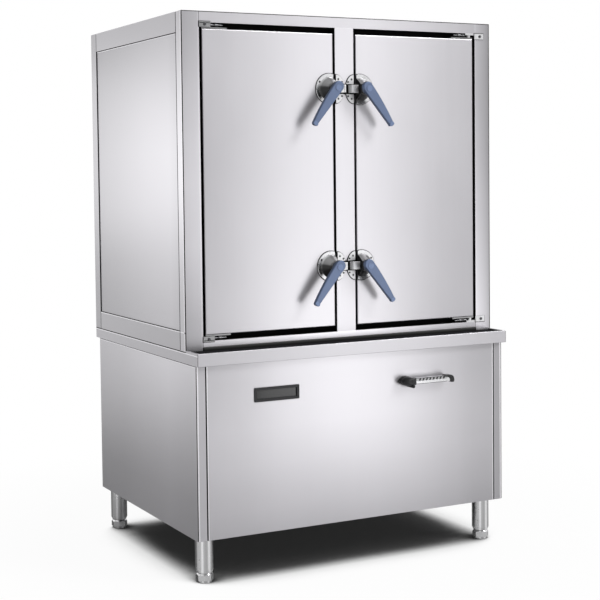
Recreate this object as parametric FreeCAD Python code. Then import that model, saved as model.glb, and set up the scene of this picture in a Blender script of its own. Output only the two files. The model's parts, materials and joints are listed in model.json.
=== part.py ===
import FreeCAD, Part
import math
import os

# Rice steamer cabinet with two insulated doors over a gas boiler base.
# Millimetres. Z is up, the doors face -Y and +X is to the right seen from the front.
# The origin is on the floor, under the middle of the whole cabinet's outline.

# Overall sizes
cabinet_width = 1200.0
table_depth = 950.0
overall_height = 1855.0
table_height = 760.0

# Sheets and tubes
skin_sheet = 1.5
liner_sheet = 1.2
boiler_sheet = 2.0
frame_tube = 30.0
tube_wall = 1.5

# Tabletop
table_edge_height = 42.0
table_lip = 8.0
deck_drop = 6.0
table_hem = 16.0
table_edge_radius = 1.3

# Base cabinet
base_front_inset = 24.0
base_back_inset = 28.0
base_side_inset = 3.5
ground_clearance = 150.0
corner_return = 32.0
panel_hem = 12.0
panel_seam = 2.5
front_panel_return = 20.0
bearer_height = 400.0

# Legs and levelling feet
leg_diameter = 60.0
leg_wall = 2.0
leg_inset_side = 48.0
leg_inset_front = 64.0
leg_inset_back = 47.0
leg_plate_size = 68.0
leg_plate_thickness = 4.0
leg_taper_height = 9.0
leg_taper = 4.0
leg_bush_height = 14.0
foot_height = 32.0
foot_across_flats = 54.0
foot_sides = 8
foot_pad_radius = 24.0
foot_pad_height = 6.0
foot_stem_radius = 8.0
foot_stem_length = 70.0
foot_stem_fit = 0.08
foot_seat_gap = 0.3

# Steam cabinet on the tabletop
cabinet_setback = 95.0
stile_width = 62.0
front_post_depth = 45.0
rear_post_size = 54.0
mullion_width = 72.0
top_rail_height = 36.0
bottom_rail_height = 33.0
side_rail_height = 66.0
side_rail_depth = 40.0
panel_recess = 2.0

# Steam chambers
side_wall = 66.0
rear_wall = 66.0
divider_wall = 80.0
chamber_floor_rise = 38.0
chamber_ceiling_drop = 46.0
flange_lap = 8.0
mouth_margin = 28.0
insulation_gap = 0.5

# Tray racks
tray_levels = 12
tray_pitch = 74.0
first_level_rise = 68.0
tray_width = 400.0
tray_side_clearance = 3.5
runner_length = 620.0
runner_front_offset = 14.0
runner_ledge = 25.0
runner_flange = 14.0
runner_sheet = 1.5
upright_width = 20.0
upright_end_offset = 70.0

# Doors
door_thickness = 38.0
hinge_side_gap = 10.0
latch_side_gap = 8.0
door_end_gap = 20.0
door_edge_radius = 3.0
pan_plug_inset = 62.0
pan_plug_height = 5.0
pan_plug_taper = 10.0
gasket_width = 12.0
gasket_inset = 13.0
gasket_clearance = 0.3

# Door hinges
hinge_pin_inset = 12.0
hinge_pin_setback = 9.0
hinge_pin_radius = 5.0
hinge_fit = 0.06
hinge_plate = 6.0
hinge_strap_thickness = 5.0
hinge_strap_length = 90.0
hinge_strap_width = 26.0
hinge_boss_radius = 8.0
hinge_washer_gap = 0.3
bracket_length = 40.0
bracket_lip_lap = 3.0
bracket_lip_thickness = 3.0
bracket_wing_length = 36.0
bracket_wing_lap = 3.0
bracket_bolt_inset = 16.0
bracket_bolt_radius = 5.0
bracket_bolt_head = 3.0

# Door latches
latch_edge_distance = 16.0
latch_from_top = 242.0
latch_from_bottom = 252.0
latch_plate_radius = 52.0
latch_plate_thickness = 4.0
latch_plate_chamfer = 1.5
latch_facet_gap = 1.5
hub_base_radius = 40.0
hub_top_radius = 21.0
hub_cone_height = 30.0
hub_height = 41.5
hub_pocket_radius = 18.2
hub_pocket_floor = 1.5
cam_radius = 10.0
cam_reach = 17.0
cam_height = 12.0
cam_clearance = 1.0
spindle_radius = 8.0
spindle_fit = 0.08
lever_gap = 0.5
lever_boss_height = 6.0
lever_boss_radius = 17.0
lever_thickness = 14.0
lever_length = 155.0
lever_top = 24.5
lever_half_width = 18.0
lever_middle_half_width = 16.7
lever_middle_drop = 70.0
lever_tip_half_width = 8.5
lever_tip_round = 8.0
lever_edge_radius = 3.0
lever_cap_radius = 10.5
lever_cap_height = 1.5
lever_tilt = 36.5
keeper_reach = 31.5
keeper_half_height = 48.0
keeper_edge_gap = 1.5
strike_width = 20.0
strike_height = 27.0
strike_reach = 26.0
strike_lip = 6.0
strike_lip_overhang = 7.0
strike_chamfer = 1.0

# Screws that show on the latches
screw_head_radius = 3.6
screw_shank_radius = 2.0
screw_head_height = 2.2
screw_stand = 0.4
screw_length = 9.0
screw_clearance = 0.15
latch_screw_offsets = ((10.0, 36.0), (38.0, 23.0))
keeper_screw_offsets = ((10.0, 33.0), (24.0, 24.0))

# Gas valve and its lever on the base front
valve_x = 190.0
valve_height = 611.0
valve_body_length = 70.0
valve_body_size = 36.0
valve_spindle_radius = 5.0
valve_spindle_fit = 0.06
valve_spindle_depth = 22.0
panel_hole_clearance = 2.0
gas_hub_radius = 17.0
gas_hub_nose = 42.0
gas_hub_nose_radius = 7.0
gas_hub_gap = 1.0
gas_hub_height = 45.0
gas_hub_chamfer = 4.0
gas_hub_tab_radius = 6.5
gas_hub_tab_offset = 12.0
gas_spindle_grip = 30.0
gas_arm_length = 166.0
gas_arm_height = 19.0
gas_arm_thickness = 16.0
gas_arm_front = 40.0
gas_cap_length = 24.0
gas_cap_height = 26.0
gas_notches = 9
gas_notch_width = 5.0
gas_notch_depth = 4.0

# Sight window on the base front
window_x = -308.0
window_height = 608.0
window_length = 166.0
window_tall = 47.0
window_border = 9.0
window_bezel_stand = 2.5
window_sleeve = 10.0
window_corner = 3.0
glass_thickness = 3.0
glass_recess = 5.0

# Boiler, burner and flue
boiler_half_width = 345.0
boiler_front_clearance = 130.0
boiler_back_clearance = 120.0
boiler_height = 270.0
riser_radius = 50.0
riser_clearance = 1.0
riser_stand = 6.0
diffuser_length = 260.0
diffuser_width = 200.0
diffuser_height = 22.0
diffuser_slots = 9
diffuser_slot_width = 8.0
burner_radius = 130.0
burner_head_height = 40.0
burner_leg_height = 90.0
burner_leg_radius = 9.0
burner_well_radius = 65.0
burner_ring_radius = 97.5
burner_ports = 24
burner_port_radius = 4.0
burner_port_depth = 20.0
burner_legs = 3
burner_inlet_radius = 16.0
tray_lap = 14.0
tray_slots = 7
tray_slot_length = 160.0
tray_slot_width = 16.0
flue_radius = 50.0
flue_x = -170.0
flue_height = 640.0
fitting_stand = 22.0
fitting_shoulder = 2.0
fitting_step = 1.0
fitting_flange = 5.0

# Water feed, float and drain
float_box_width = 160.0
float_box_depth = 160.0
float_box_height = 170.0
float_box_side_gap = 20.0
float_box_bottom = 520.0
float_pivot_height = 635.0
float_pivot_inset = 34.0
float_arm_length = 78.0
float_ball_radius = 28.0
float_rod_radius = 3.0
float_rest_angle = 22.0
float_pin_radius = 2.5
float_pin_fit = 0.06
water_inlet_radius = 10.5
water_inlet_height = 660.0
level_pipe_radius = 11.0
level_pipe_height = 545.0
drain_radius = 16.6
drain_x = -260.0
drain_height = 456.0
pipe_hole_clearance = 1.0
pipe_bore_share = 0.8

# Gas supply
gas_inlet_radius = 7.5
gas_pipe_bend = 30.0
gas_bore_radius = 6.5
gas_inlet_x = 470.0
gas_inlet_height = 300.0
burner_feed_x = 60.0

# Places worked out from the sizes above
half_width = cabinet_width / 2
lever_reach = gas_hub_gap + gas_hub_height
lever_overhang = lever_reach - base_front_inset
table_front = -(table_depth - lever_overhang) / 2
table_back = (table_depth + lever_overhang) / 2
table_underside = table_height - table_edge_height
deck_top = table_height - deck_drop
deck_underside = deck_top - skin_sheet
base_front = table_front + base_front_inset
base_back = table_back - base_back_inset
base_half = half_width - base_side_inset
base_inner_half = base_half - skin_sheet
frame_bottom = ground_clearance + skin_sheet
frame_top = deck_underside
frame_half = base_inner_half
frame_front = base_front + skin_sheet
frame_back = base_back - skin_sheet
leg_x = base_half - leg_inset_side
leg_front_y = base_front + leg_inset_front
leg_back_y = base_back - leg_inset_back
leg_radius = leg_diameter / 2
leg_bottom = foot_height + foot_seat_gap
leg_top = frame_bottom - leg_plate_thickness
face = table_front + cabinet_setback
back = table_back
cabinet_bottom = deck_top
roof_underside = overall_height - skin_sheet
post_inner = half_width - stile_width
mullion_half = mullion_width / 2
opening_bottom = cabinet_bottom + bottom_rail_height
opening_top = overall_height - top_rail_height
door_outer_x = post_inner - hinge_side_gap
door_inner_x = mullion_half + latch_side_gap
door_bottom = opening_bottom + door_end_gap
door_top = opening_top - door_end_gap
flange_front = face + front_post_depth
flange_back = flange_front + liner_sheet
chamber_outer_x = half_width - side_wall
chamber_inner_x = divider_wall / 2
chamber_back = back - rear_wall
chamber_floor = cabinet_bottom + chamber_floor_rise
chamber_ceiling = overall_height - chamber_ceiling_drop
mouth_outer_x = door_outer_x - mouth_margin
mouth_inner_x = door_inner_x + mouth_margin
mouth_bottom = door_bottom + mouth_margin
mouth_top = door_top - mouth_margin
chamber_middle_x = (chamber_outer_x + chamber_inner_x) / 2
rack_outer_face = chamber_middle_x + tray_width / 2 + tray_side_clearance + runner_sheet
rack_inner_face = chamber_middle_x - tray_width / 2 - tray_side_clearance - runner_sheet
runner_front = flange_back + runner_front_offset
latch_x = door_inner_x + latch_edge_distance
upper_latch_z = overall_height - latch_from_top
lower_latch_z = cabinet_bottom + latch_from_bottom + deck_drop
hinge_x = door_outer_x - hinge_pin_inset
hinge_y = face + hinge_pin_setback
boiler_bottom = bearer_height + frame_tube
boiler_top = boiler_bottom + boiler_height
boiler_front = base_front + boiler_front_clearance
boiler_back = base_back - boiler_back_clearance
tray_z = frame_bottom + frame_tube
burner_y = (boiler_front + boiler_back) / 2
burner_bottom = tray_z + skin_sheet + burner_leg_height
float_box_back = frame_back
float_box_front = float_box_back - float_box_depth
float_box_x = frame_half - frame_tube - float_box_side_gap - float_box_width
float_x = float_box_x + float_box_width / 2
gas_pipe_radius = gas_inlet_radius + fitting_step


def vec(x, y, z):
    return FreeCAD.Vector(x, y, z)


def box(x0, x1, y0, y1, z0, z1):
    return Part.makeBox(x1 - x0, y1 - y0, z1 - z0, vec(x0, y0, z0))


def rod_x(radius, x0, x1, y, z):
    return Part.makeCylinder(radius, x1 - x0, vec(x0, y, z), vec(1, 0, 0))


def rod_y(radius, x, y0, y1, z):
    return Part.makeCylinder(radius, y1 - y0, vec(x, y0, z), vec(0, 1, 0))


def rod_z(radius, x, y, z0, z1):
    return Part.makeCylinder(radius, z1 - z0, vec(x, y, z0), vec(0, 0, 1))


def mirrored(shape):
    return shape.mirror(vec(0, 0, 0), vec(1, 0, 0))


def both_sides(shapes):
    return list(shapes) + [mirrored(shape) for shape in shapes]


def turned(points, x, y):
    """Solid of revolution about the vertical line at x, y, from radius and height pairs."""
    outline = [vec(x + radius, y, z) for radius, z in points]
    outline.append(outline[0])
    profile = Part.Face(Part.makePolygon(outline))
    return profile.revolve(vec(x, y, 0), vec(0, 0, 1), 360)


def square_tube(x0, x1, y0, y1, z0, z1, along):
    """Rectangular hollow section that runs along x, y or z and is open at its ends."""
    inner = [x0 + tube_wall, x1 - tube_wall, y0 + tube_wall, y1 - tube_wall, z0 + tube_wall, z1 - tube_wall]
    outer = [x0, x1, y0, y1, z0, z1]
    first = 2 * "xyz".index(along)
    inner[first] = outer[first]
    inner[first + 1] = outer[first + 1]
    return box(*outer).cut(box(*inner))


def plate_y(outline_edges, y0, y1):
    """Flat plate between two y values, from edges that lie in the plane y = y0."""
    profile = Part.Face(Part.Wire(outline_edges))
    return profile.extrude(vec(0, y1 - y0, 0))


def rounded_plate_y(x0, x1, z0, z1, radius, y0, y1):
    """Rectangular plate across y with rounded corners."""
    plate = box(x0, x1, y0, y1, z0, z1)
    corners = [edge for edge in plate.Edges if is_along(edge, 1)]
    return plate.makeFillet(radius, corners)


def is_along(edge, axis):
    """True for a straight edge that runs along x (0), y (1) or z (2)."""
    start = edge.Vertexes[0].Point
    end = edge.Vertexes[-1].Point
    others = [i for i in range(3) if i != axis]
    return all(abs(start[i] - end[i]) < 1e-6 for i in others)


def edges_at(shape, axis, value):
    """Edges of a shape that lie wholly in the plane where the axis has this value."""
    low = ("XMin", "YMin", "ZMin")[axis]
    high = ("XMax", "YMax", "ZMax")[axis]
    found = []
    for edge in shape.Edges:
        limits = edge.BoundBox
        if abs(getattr(limits, low) - value) < 1e-4 and abs(getattr(limits, high) - value) < 1e-4:
            found.append(edge)
    return found


def screw(x, y_face, z, clearance):
    """Countersunk screw driven towards +Y into a face, or its hole when a clearance is given."""
    head = screw_head_radius + clearance
    shank = screw_shank_radius + clearance
    start = y_face - screw_stand
    cone = Part.makeCone(head, shank, screw_head_height + clearance, vec(x, start, z), vec(0, 1, 0))
    body = rod_y(shank, x, start + screw_head_height, y_face + screw_length + clearance, z)
    return cone.fuse(body).removeSplitter()


def pipe(points, radius):
    """Round pipe along straight runs joined by tangent bends."""
    edges = []
    start = points[0]
    for before, corner, after in zip(points, points[1:], points[2:]):
        into = (corner - before).normalize()
        out = (after - corner).normalize()
        enter = corner - into * gas_pipe_bend
        leave = corner + out * gas_pipe_bend
        centre = enter + out * gas_pipe_bend
        middle = centre + (corner - centre).normalize() * gas_pipe_bend
        edges.append(Part.LineSegment(start, enter).toShape())
        edges.append(Part.Arc(enter, middle, leave).toShape())
        start = leave
    edges.append(Part.LineSegment(start, points[-1]).toShape())
    heading = (points[1] - points[0]).normalize()
    section = Part.Wire(Part.Circle(points[0], heading, radius).toShape())
    return Part.Wire(edges).makePipeShell([section], True, False)


def base_frame():
    """Welded frame of square tubes: posts, bottom, top and bearer rails."""
    inner = frame_half - frame_tube
    front_in = frame_front + frame_tube
    back_in = frame_back - frame_tube
    tubes = []
    for y0, y1 in ((frame_front, front_in), (back_in, frame_back)):
        tubes.extend(both_sides([square_tube(inner, frame_half, y0, y1, frame_bottom, frame_top, "z")]))
        for z0 in (frame_bottom, frame_top - frame_tube):
            tubes.append(square_tube(-inner, inner, y0, y1, z0, z0 + frame_tube, "x"))
    for z0 in (frame_bottom, bearer_height, frame_top - frame_tube):
        side = square_tube(inner, frame_half, front_in, back_in, z0, z0 + frame_tube, "y")
        tubes.extend(both_sides([side]))
    for y0 in (boiler_front + frame_tube, boiler_back - 2 * frame_tube):
        tubes.append(square_tube(-inner, inner, y0, y0 + frame_tube, bearer_height, boiler_bottom, "x"))
    return tubes


def leg_places():
    return {
        "front_left": (-leg_x, leg_front_y),
        "front_right": (leg_x, leg_front_y),
        "rear_left": (-leg_x, leg_back_y),
        "rear_right": (leg_x, leg_back_y),
    }


def leg_tube(x, y):
    """Round leg with a welded top plate and a threaded bush in its tapered lower end."""
    bore = foot_stem_radius + foot_stem_fit
    inside = leg_radius - leg_wall
    bush_top = leg_bottom + leg_bush_height
    profile = [
        (bore, leg_bottom),
        (leg_radius - leg_taper, leg_bottom),
        (leg_radius, leg_bottom + leg_taper_height),
        (leg_radius, leg_top),
        (inside, leg_top),
        (inside, bush_top),
        (bore, bush_top),
    ]
    half = leg_plate_size / 2
    plate = box(x - half, x + half, y - half, y + half, leg_top, frame_bottom)
    return turned(profile, x, y).fuse(plate).removeSplitter()


def adjuster_foot(x, y):
    """Octagonal levelling foot with a threaded stem that runs up inside the leg."""
    corner = foot_across_flats / 2 / math.cos(math.pi / foot_sides)
    points = []
    for i in range(foot_sides + 1):
        angle = 2 * math.pi * (i + 0.5) / foot_sides
        points.append(vec(x + corner * math.cos(angle), y + corner * math.sin(angle), foot_pad_height))
    prism = Part.Face(Part.makePolygon(points)).extrude(vec(0, 0, foot_height - foot_pad_height))
    shoulder = foot_across_flats / 2 - 2 * leg_wall
    envelope = [
        (0, foot_pad_height),
        (foot_across_flats / 2 - leg_wall, foot_pad_height),
        (corner, foot_pad_height + leg_wall),
        (corner, foot_height - 2 * leg_taper),
        (shoulder, foot_height),
        (0, foot_height),
    ]
    collar = prism.common(turned(envelope, x, y))
    pad = rod_z(foot_pad_radius, x, y, 0, foot_pad_height)
    stem = rod_z(foot_stem_radius, x, y, foot_height, foot_height + foot_stem_length)
    return collar.fuse([pad, stem]).removeSplitter()


def base_side_panel():
    """Folded side panel: the side, a return round each corner and a bottom hem."""
    inner = base_half - corner_return
    outer = box(inner, base_half, base_front, base_back, ground_clearance, frame_top)
    hollow = box(inner, base_inner_half, frame_front, frame_back, frame_bottom, frame_top)
    window = box(
        inner, base_half - panel_hem, frame_front, frame_back, ground_clearance, frame_bottom
    )
    return outer.cut(hollow).cut(window)


def flush_panel(y_out, y_in, direction):
    """Tray panel that closes the space between the corner returns, with hems at its four sides."""
    half = base_half - corner_return - panel_seam
    depth_end = y_out + direction * front_panel_return
    y0, y1 = sorted((y_out, depth_end))
    outer = box(-half, half, y0, y1, ground_clearance, frame_top)
    inner_low, inner_high = sorted((y_in, depth_end))
    core = box(
        -half + skin_sheet, half - skin_sheet, inner_low, inner_high, frame_bottom, frame_top
    )
    hem_end = y_out + direction * panel_hem
    low, high = sorted((hem_end, depth_end))
    hem_waste = box(-half, half, low, high, ground_clearance, frame_bottom)
    rail_notches = [
        box(-half, half, inner_low, inner_high, z0, z0 + frame_tube)
        for z0 in (frame_bottom, frame_top - frame_tube)
    ]
    return outer.cut([core, hem_waste] + rail_notches)


def base_front_panel():
    """Front panel with its sight window cut-out and the hole for the gas valve spindle."""
    panel = flush_panel(base_front, frame_front, 1)
    half_length = window_length / 2 - window_border + window_corner
    half_tall = window_tall / 2 - window_border + window_corner
    cut_out = box(
        window_x - half_length, window_x + half_length,
        base_front, frame_front,
        window_height - half_tall, window_height + half_tall,
    )
    hole = rod_y(
        valve_spindle_radius + panel_hole_clearance, valve_x, base_front, frame_front, valve_height
    )
    return panel.cut([cut_out, hole])


def base_back_panel():
    """Back panel with holes for the flue, the water inlet, the drain and the gas inlet."""
    panel = flush_panel(base_back, frame_back, -1)
    pipes = (
        (flue_radius, flue_x, flue_height),
        (water_inlet_radius, float_x, water_inlet_height),
        (drain_radius, drain_x, drain_height),
        (gas_inlet_radius, gas_inlet_x, gas_inlet_height),
    )
    extra = fitting_step + pipe_hole_clearance
    holes = [rod_y(radius + extra, x, frame_back, base_back, z) for radius, x, z in pipes]
    return panel.cut(holes)


def burner_tray():
    """Shelf over the bottom rails, slotted for the burner's air."""
    half = frame_half - frame_tube + tray_lap
    y0 = frame_front + frame_tube + panel_seam
    y1 = frame_back - frame_tube - panel_seam
    shelf = box(-half, half, y0, y1, tray_z, tray_z + skin_sheet)
    slots = []
    for i in range(tray_slots):
        x = (i - (tray_slots - 1) / 2) * tray_slot_length
        for y in ((y0 + burner_y) / 2 - burner_radius / 2, (y1 + burner_y) / 2 + burner_radius / 2):
            slots.append(box(
                x - tray_slot_length / 4, x + tray_slot_length / 4,
                y - tray_slot_width / 2, y + tray_slot_width / 2,
                tray_z, tray_z + skin_sheet,
            ))
    return shelf.cut(slots)


def tabletop():
    """Folded top with side skirts, a hem and a raised lip round the deck in front of the cabinet."""
    outer = box(-half_width, half_width, table_front, table_back, table_underside, table_height)
    basin = box(
        -half_width + table_lip, half_width - table_lip,
        table_front + table_lip, face,
        deck_top, table_height,
    )
    seat = box(-half_width, half_width, face, table_back, deck_top, table_height)
    under = box(
        -half_width + skin_sheet, half_width - skin_sheet,
        table_front + skin_sheet, table_back - skin_sheet,
        table_underside + skin_sheet, deck_underside,
    )
    mouth = box(
        -half_width + skin_sheet, half_width - skin_sheet,
        table_front + table_hem, table_back - table_hem,
        table_underside, table_underside + skin_sheet,
    )
    top = outer.cut([basin, seat, under, mouth])
    front_edge = [edge for edge in edges_at(top, 1, table_front) if is_along(edge, 0)]
    top = top.makeFillet(table_edge_radius, front_edge)
    holes = []
    for x in (-chamber_middle_x, chamber_middle_x):
        holes.append(rod_z(riser_radius + riser_clearance, x, burner_y, deck_underside, deck_top))
    return top.cut(holes)


def boiler_tank():
    """Water tank over the burner, with a steam riser up into each chamber."""
    outer = box(
        -boiler_half_width, boiler_half_width, boiler_front, boiler_back, boiler_bottom, boiler_top
    )
    inner = box(
        -boiler_half_width + boiler_sheet, boiler_half_width - boiler_sheet,
        boiler_front + boiler_sheet, boiler_back - boiler_sheet,
        boiler_bottom + boiler_sheet, boiler_top - boiler_sheet,
    )
    tank = outer.cut(inner)
    bore = riser_radius - boiler_sheet
    for x in (-chamber_middle_x, chamber_middle_x):
        tank = tank.fuse(rod_z(riser_radius, x, burner_y, boiler_top, chamber_floor + riser_stand))
        tank = tank.cut(rod_z(bore, x, burner_y, boiler_top - boiler_sheet, chamber_floor + riser_stand))
    level_bore = level_pipe_radius * pipe_bore_share
    side = boiler_half_width
    tank = tank.cut(rod_x(level_bore, side - boiler_sheet, side, float_box_y(), level_pipe_height))
    drain_bore = drain_radius * pipe_bore_share
    tank = tank.cut(rod_y(drain_bore, drain_x, boiler_back - boiler_sheet, boiler_back, drain_height))
    return tank.removeSplitter()


def float_box_y():
    """Line of the level pipe, inside both the tank and the float box."""
    return (float_box_front + boiler_back) / 2


def burner_ring(count, first):
    """Evenly spaced places round the burner's ring, from a first angle."""
    angles = [first + 2 * math.pi * i / count for i in range(count)]
    return [
        (burner_ring_radius * math.cos(angle), burner_y + burner_ring_radius * math.sin(angle))
        for angle in angles
    ]


def burner_inlet_y():
    return burner_y - burner_radius - burner_inlet_radius


def burner():
    """Cast burner head with a ring of ports, three legs and a gas inlet at its front."""
    top = burner_bottom + burner_head_height
    head = rod_z(burner_radius, 0, burner_y, burner_bottom, top)
    well = rod_z(burner_well_radius, 0, burner_y, burner_bottom, top)
    head = head.cut(well)
    ports = []
    for x, y in burner_ring(burner_ports, 0.0):
        ports.append(rod_z(burner_port_radius, x, y, top - burner_port_depth, top))
    head = head.cut(ports)
    legs = []
    for x, y in burner_ring(burner_legs, math.pi / 2 / burner_legs):
        legs.append(rod_z(burner_leg_radius, x, y, tray_z + skin_sheet, burner_bottom))
    inlet_z = burner_bottom + burner_head_height / 2
    inlet_end = burner_y - math.sqrt(burner_well_radius ** 2 - burner_feed_x ** 2)
    inlet = rod_y(burner_inlet_radius, burner_feed_x, burner_inlet_y(), inlet_end, inlet_z)
    return head.fuse(legs + [inlet.cut(well)]).removeSplitter()


def spigot(radius, x, start, z):
    """Pipe towards the back that steps down to its outlet radius just outside the back panel."""
    shoulder = base_back + fitting_shoulder
    body = rod_y(radius + fitting_step, x, start, shoulder, z)
    return body.fuse(rod_y(radius, x, shoulder, base_back + fitting_stand, z))


def flue_outlet():
    """Flue stub from the back of the tank out through the back panel."""
    bore = rod_y(flue_radius - skin_sheet, flue_x, boiler_back, base_back + fitting_stand, flue_height)
    return spigot(flue_radius, flue_x, boiler_back, flue_height).cut(bore)


def gas_pipes():
    """Supply pipe from the rear inlet to the valve, and feed pipe from the valve to the burner."""
    port_y = frame_front + valve_body_size / 2
    shoulder = base_back + fitting_shoulder
    end = base_back + fitting_stand
    supply = gas_tube([
        vec(gas_inlet_x, shoulder, gas_inlet_height),
        vec(gas_inlet_x, port_y, gas_inlet_height),
        vec(gas_inlet_x, port_y, valve_height),
        vec(valve_x + valve_body_length / 2, port_y, valve_height),
    ])
    inlet = rod_y(gas_inlet_radius, gas_inlet_x, shoulder, end, gas_inlet_height)
    bore = rod_y(gas_bore_radius, gas_inlet_x, shoulder, end, gas_inlet_height)
    feed_z = burner_bottom + burner_head_height / 2
    feed = gas_tube([
        vec(valve_x - valve_body_length / 2, port_y, valve_height),
        vec(burner_feed_x, port_y, valve_height),
        vec(burner_feed_x, port_y, feed_z),
        vec(burner_feed_x, burner_inlet_y(), feed_z),
    ])
    return [supply.fuse(inlet.cut(bore)), feed]


def gas_tube(points):
    return pipe(points, gas_pipe_radius).cut(pipe(points, gas_bore_radius))


def gas_valve_body():
    """Brass valve bolted behind the front panel, bored for its spindle."""
    half = valve_body_length / 2
    size = valve_body_size / 2
    block = box(
        valve_x - half, valve_x + half,
        frame_front, frame_front + valve_body_size,
        valve_height - size, valve_height + size,
    )
    block = block.makeChamfer(size / 3, [edge for edge in block.Edges if is_along(edge, 0)])
    bore = valve_spindle_radius + valve_spindle_fit
    end = frame_front + valve_spindle_depth + valve_spindle_fit
    return block.cut(rod_y(bore, valve_x, frame_front, end, valve_height))


def gas_lever_hub():
    """Black hub with a pointed nose and a small tab, on the end of the valve spindle."""
    rear = base_front - gas_hub_gap
    front = rear - gas_hub_height
    nose_x = valve_x - gas_hub_nose + gas_hub_nose_radius
    spread = math.acos((gas_hub_radius - gas_hub_nose_radius) / (valve_x - nose_x))
    top = [math.cos(spread), math.sin(spread)]
    upper_hub = vec(valve_x - gas_hub_radius * top[0], rear, valve_height + gas_hub_radius * top[1])
    lower_hub = vec(upper_hub.x, rear, valve_height - gas_hub_radius * top[1])
    nose_rise = gas_hub_nose_radius * top[1]
    upper_nose = vec(nose_x - gas_hub_nose_radius * top[0], rear, valve_height + nose_rise)
    lower_nose = vec(upper_nose.x, rear, valve_height - nose_rise)
    edges = [
        Part.LineSegment(upper_nose, upper_hub).toShape(),
        Part.Arc(upper_hub, vec(valve_x + gas_hub_radius, rear, valve_height), lower_hub).toShape(),
        Part.LineSegment(lower_hub, lower_nose).toShape(),
        Part.Arc(lower_nose, vec(nose_x - gas_hub_nose_radius, rear, valve_height), upper_nose).toShape(),
    ]
    hub = plate_y(edges, rear, front)
    hub = hub.makeChamfer(gas_hub_chamfer, edges_at(hub, 1, front))
    tab_x = valve_x + gas_hub_tab_offset
    tab_z = valve_height - gas_hub_radius
    tab = rod_y(gas_hub_tab_radius, tab_x, front + gas_hub_chamfer, rear, tab_z)
    hub = hub.fuse(tab).removeSplitter()
    bore = rod_y(valve_spindle_radius, valve_x, rear - gas_spindle_grip, rear, valve_height)
    return hub.cut([bore, gas_arm_socket()])


def gas_arm_socket():
    """Pocket in the hub that holds the inner end of the arm."""
    front = base_front - gas_arm_front
    return box(
        valve_x + gas_hub_radius / 2, valve_x + 2 * gas_hub_radius,
        front, front + gas_arm_thickness,
        valve_height - gas_arm_height / 2, valve_height + gas_arm_height / 2,
    )


def gas_lever_arm():
    """Bright arm with a row of notches along its top edge, and the spindle that it turns."""
    front = base_front - gas_arm_front
    start = valve_x + gas_hub_radius / 2
    end = valve_x + gas_arm_length
    top = valve_height + gas_arm_height / 2
    arm = box(start, end, front, front + gas_arm_thickness, valve_height - gas_arm_height / 2, top)
    notches = []
    first = valve_x + 2 * gas_hub_radius
    pitch = (end - gas_cap_length - first) / gas_notches
    for i in range(gas_notches):
        x = first + pitch * i
        notches.append(box(
            x, x + gas_notch_width, front, front + gas_notch_depth, valve_height, top,
        ))
    arm = arm.cut(notches)
    inner_end = frame_front + valve_spindle_depth
    outer_end = base_front - gas_hub_gap - gas_spindle_grip
    spindle = rod_y(valve_spindle_radius, valve_x, outer_end, inner_end, valve_height)
    return [arm, spindle]


def gas_lever_end_cap():
    """Black cap over the arm's free end."""
    end = valve_x + gas_arm_length
    front = base_front - gas_arm_front
    rear = front + gas_arm_thickness
    wall = (gas_cap_height - gas_arm_height) / 2
    half = gas_cap_height / 2
    cap = box(
        end - gas_cap_length, end + gas_cap_length / 2,
        front - wall, rear + wall,
        valve_height - half, valve_height + half,
    )
    cap = cap.makeFillet(wall, cap.Edges)
    arm_space = box(
        end - gas_cap_length, end, front, rear,
        valve_height - gas_arm_height / 2, valve_height + gas_arm_height / 2,
    )
    return cap.cut(arm_space)


def window_opening(y0, y1):
    return box(
        window_x - window_length / 2 + window_border, window_x + window_length / 2 - window_border,
        y0, y1,
        window_height - window_tall / 2 + window_border, window_height + window_tall / 2 - window_border,
    )


def sight_window_bezel():
    """Black bezel with a sleeve through the front panel."""
    front = base_front - window_bezel_stand
    half_length = window_length / 2
    half_tall = window_tall / 2
    rim = rounded_plate_y(
        window_x - half_length, window_x + half_length,
        window_height - half_tall, window_height + half_tall,
        window_corner, front, base_front,
    )
    wall = window_border - window_corner + panel_hole_clearance / 2
    sleeve = box(
        window_x - half_length + wall, window_x + half_length - wall,
        base_front, base_front + window_sleeve,
        window_height - half_tall + wall, window_height + half_tall - wall,
    )
    return rim.fuse(sleeve).cut(window_opening(front, base_front + window_sleeve)).removeSplitter()


def sight_window_glass():
    """Dark glass set back in the bezel's sleeve."""
    return window_opening(base_front + glass_recess - glass_thickness, base_front + glass_recess)


def float_box():
    """Sheet box with a lid, for the float that keeps the water level."""
    top = float_box_bottom + float_box_height
    x1 = float_box_x + float_box_width
    outer = box(float_box_x, x1, float_box_front, float_box_back, float_box_bottom, top)
    inner = box(
        float_box_x + skin_sheet, x1 - skin_sheet,
        float_box_front + skin_sheet, float_box_back - skin_sheet,
        float_box_bottom + skin_sheet, top - skin_sheet,
    )
    inlet = rod_y(
        water_inlet_radius + fitting_step + pipe_hole_clearance, float_x,
        float_box_back - skin_sheet, float_box_back, water_inlet_height,
    )
    level = rod_x(
        level_pipe_radius * pipe_bore_share, float_box_x, float_box_x + skin_sheet,
        float_box_y(), level_pipe_height,
    )
    return outer.cut([inner, inlet, level])


def float_pivot_y():
    return float_box_back - float_pivot_inset


def float_arm():
    """Rod and ball that ride on the water, with the pivot pin at the rod's end."""
    y = float_pivot_y()
    angle = math.radians(float_rest_angle)
    run = float_arm_length * math.cos(angle)
    fall = float_arm_length * math.sin(angle)
    pivot = vec(float_x, y, float_pivot_height)
    centre = vec(float_x, y - run, float_pivot_height - fall)
    rod = Part.makeCylinder(float_rod_radius, float_arm_length, pivot, centre - pivot)
    ball = Part.makeSphere(float_ball_radius, centre)
    reach = water_inlet_radius
    pin = rod_x(float_pin_radius, float_x - reach, float_x + reach, y, float_pivot_height)
    return rod.fuse([ball, pin]).removeSplitter()


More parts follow.
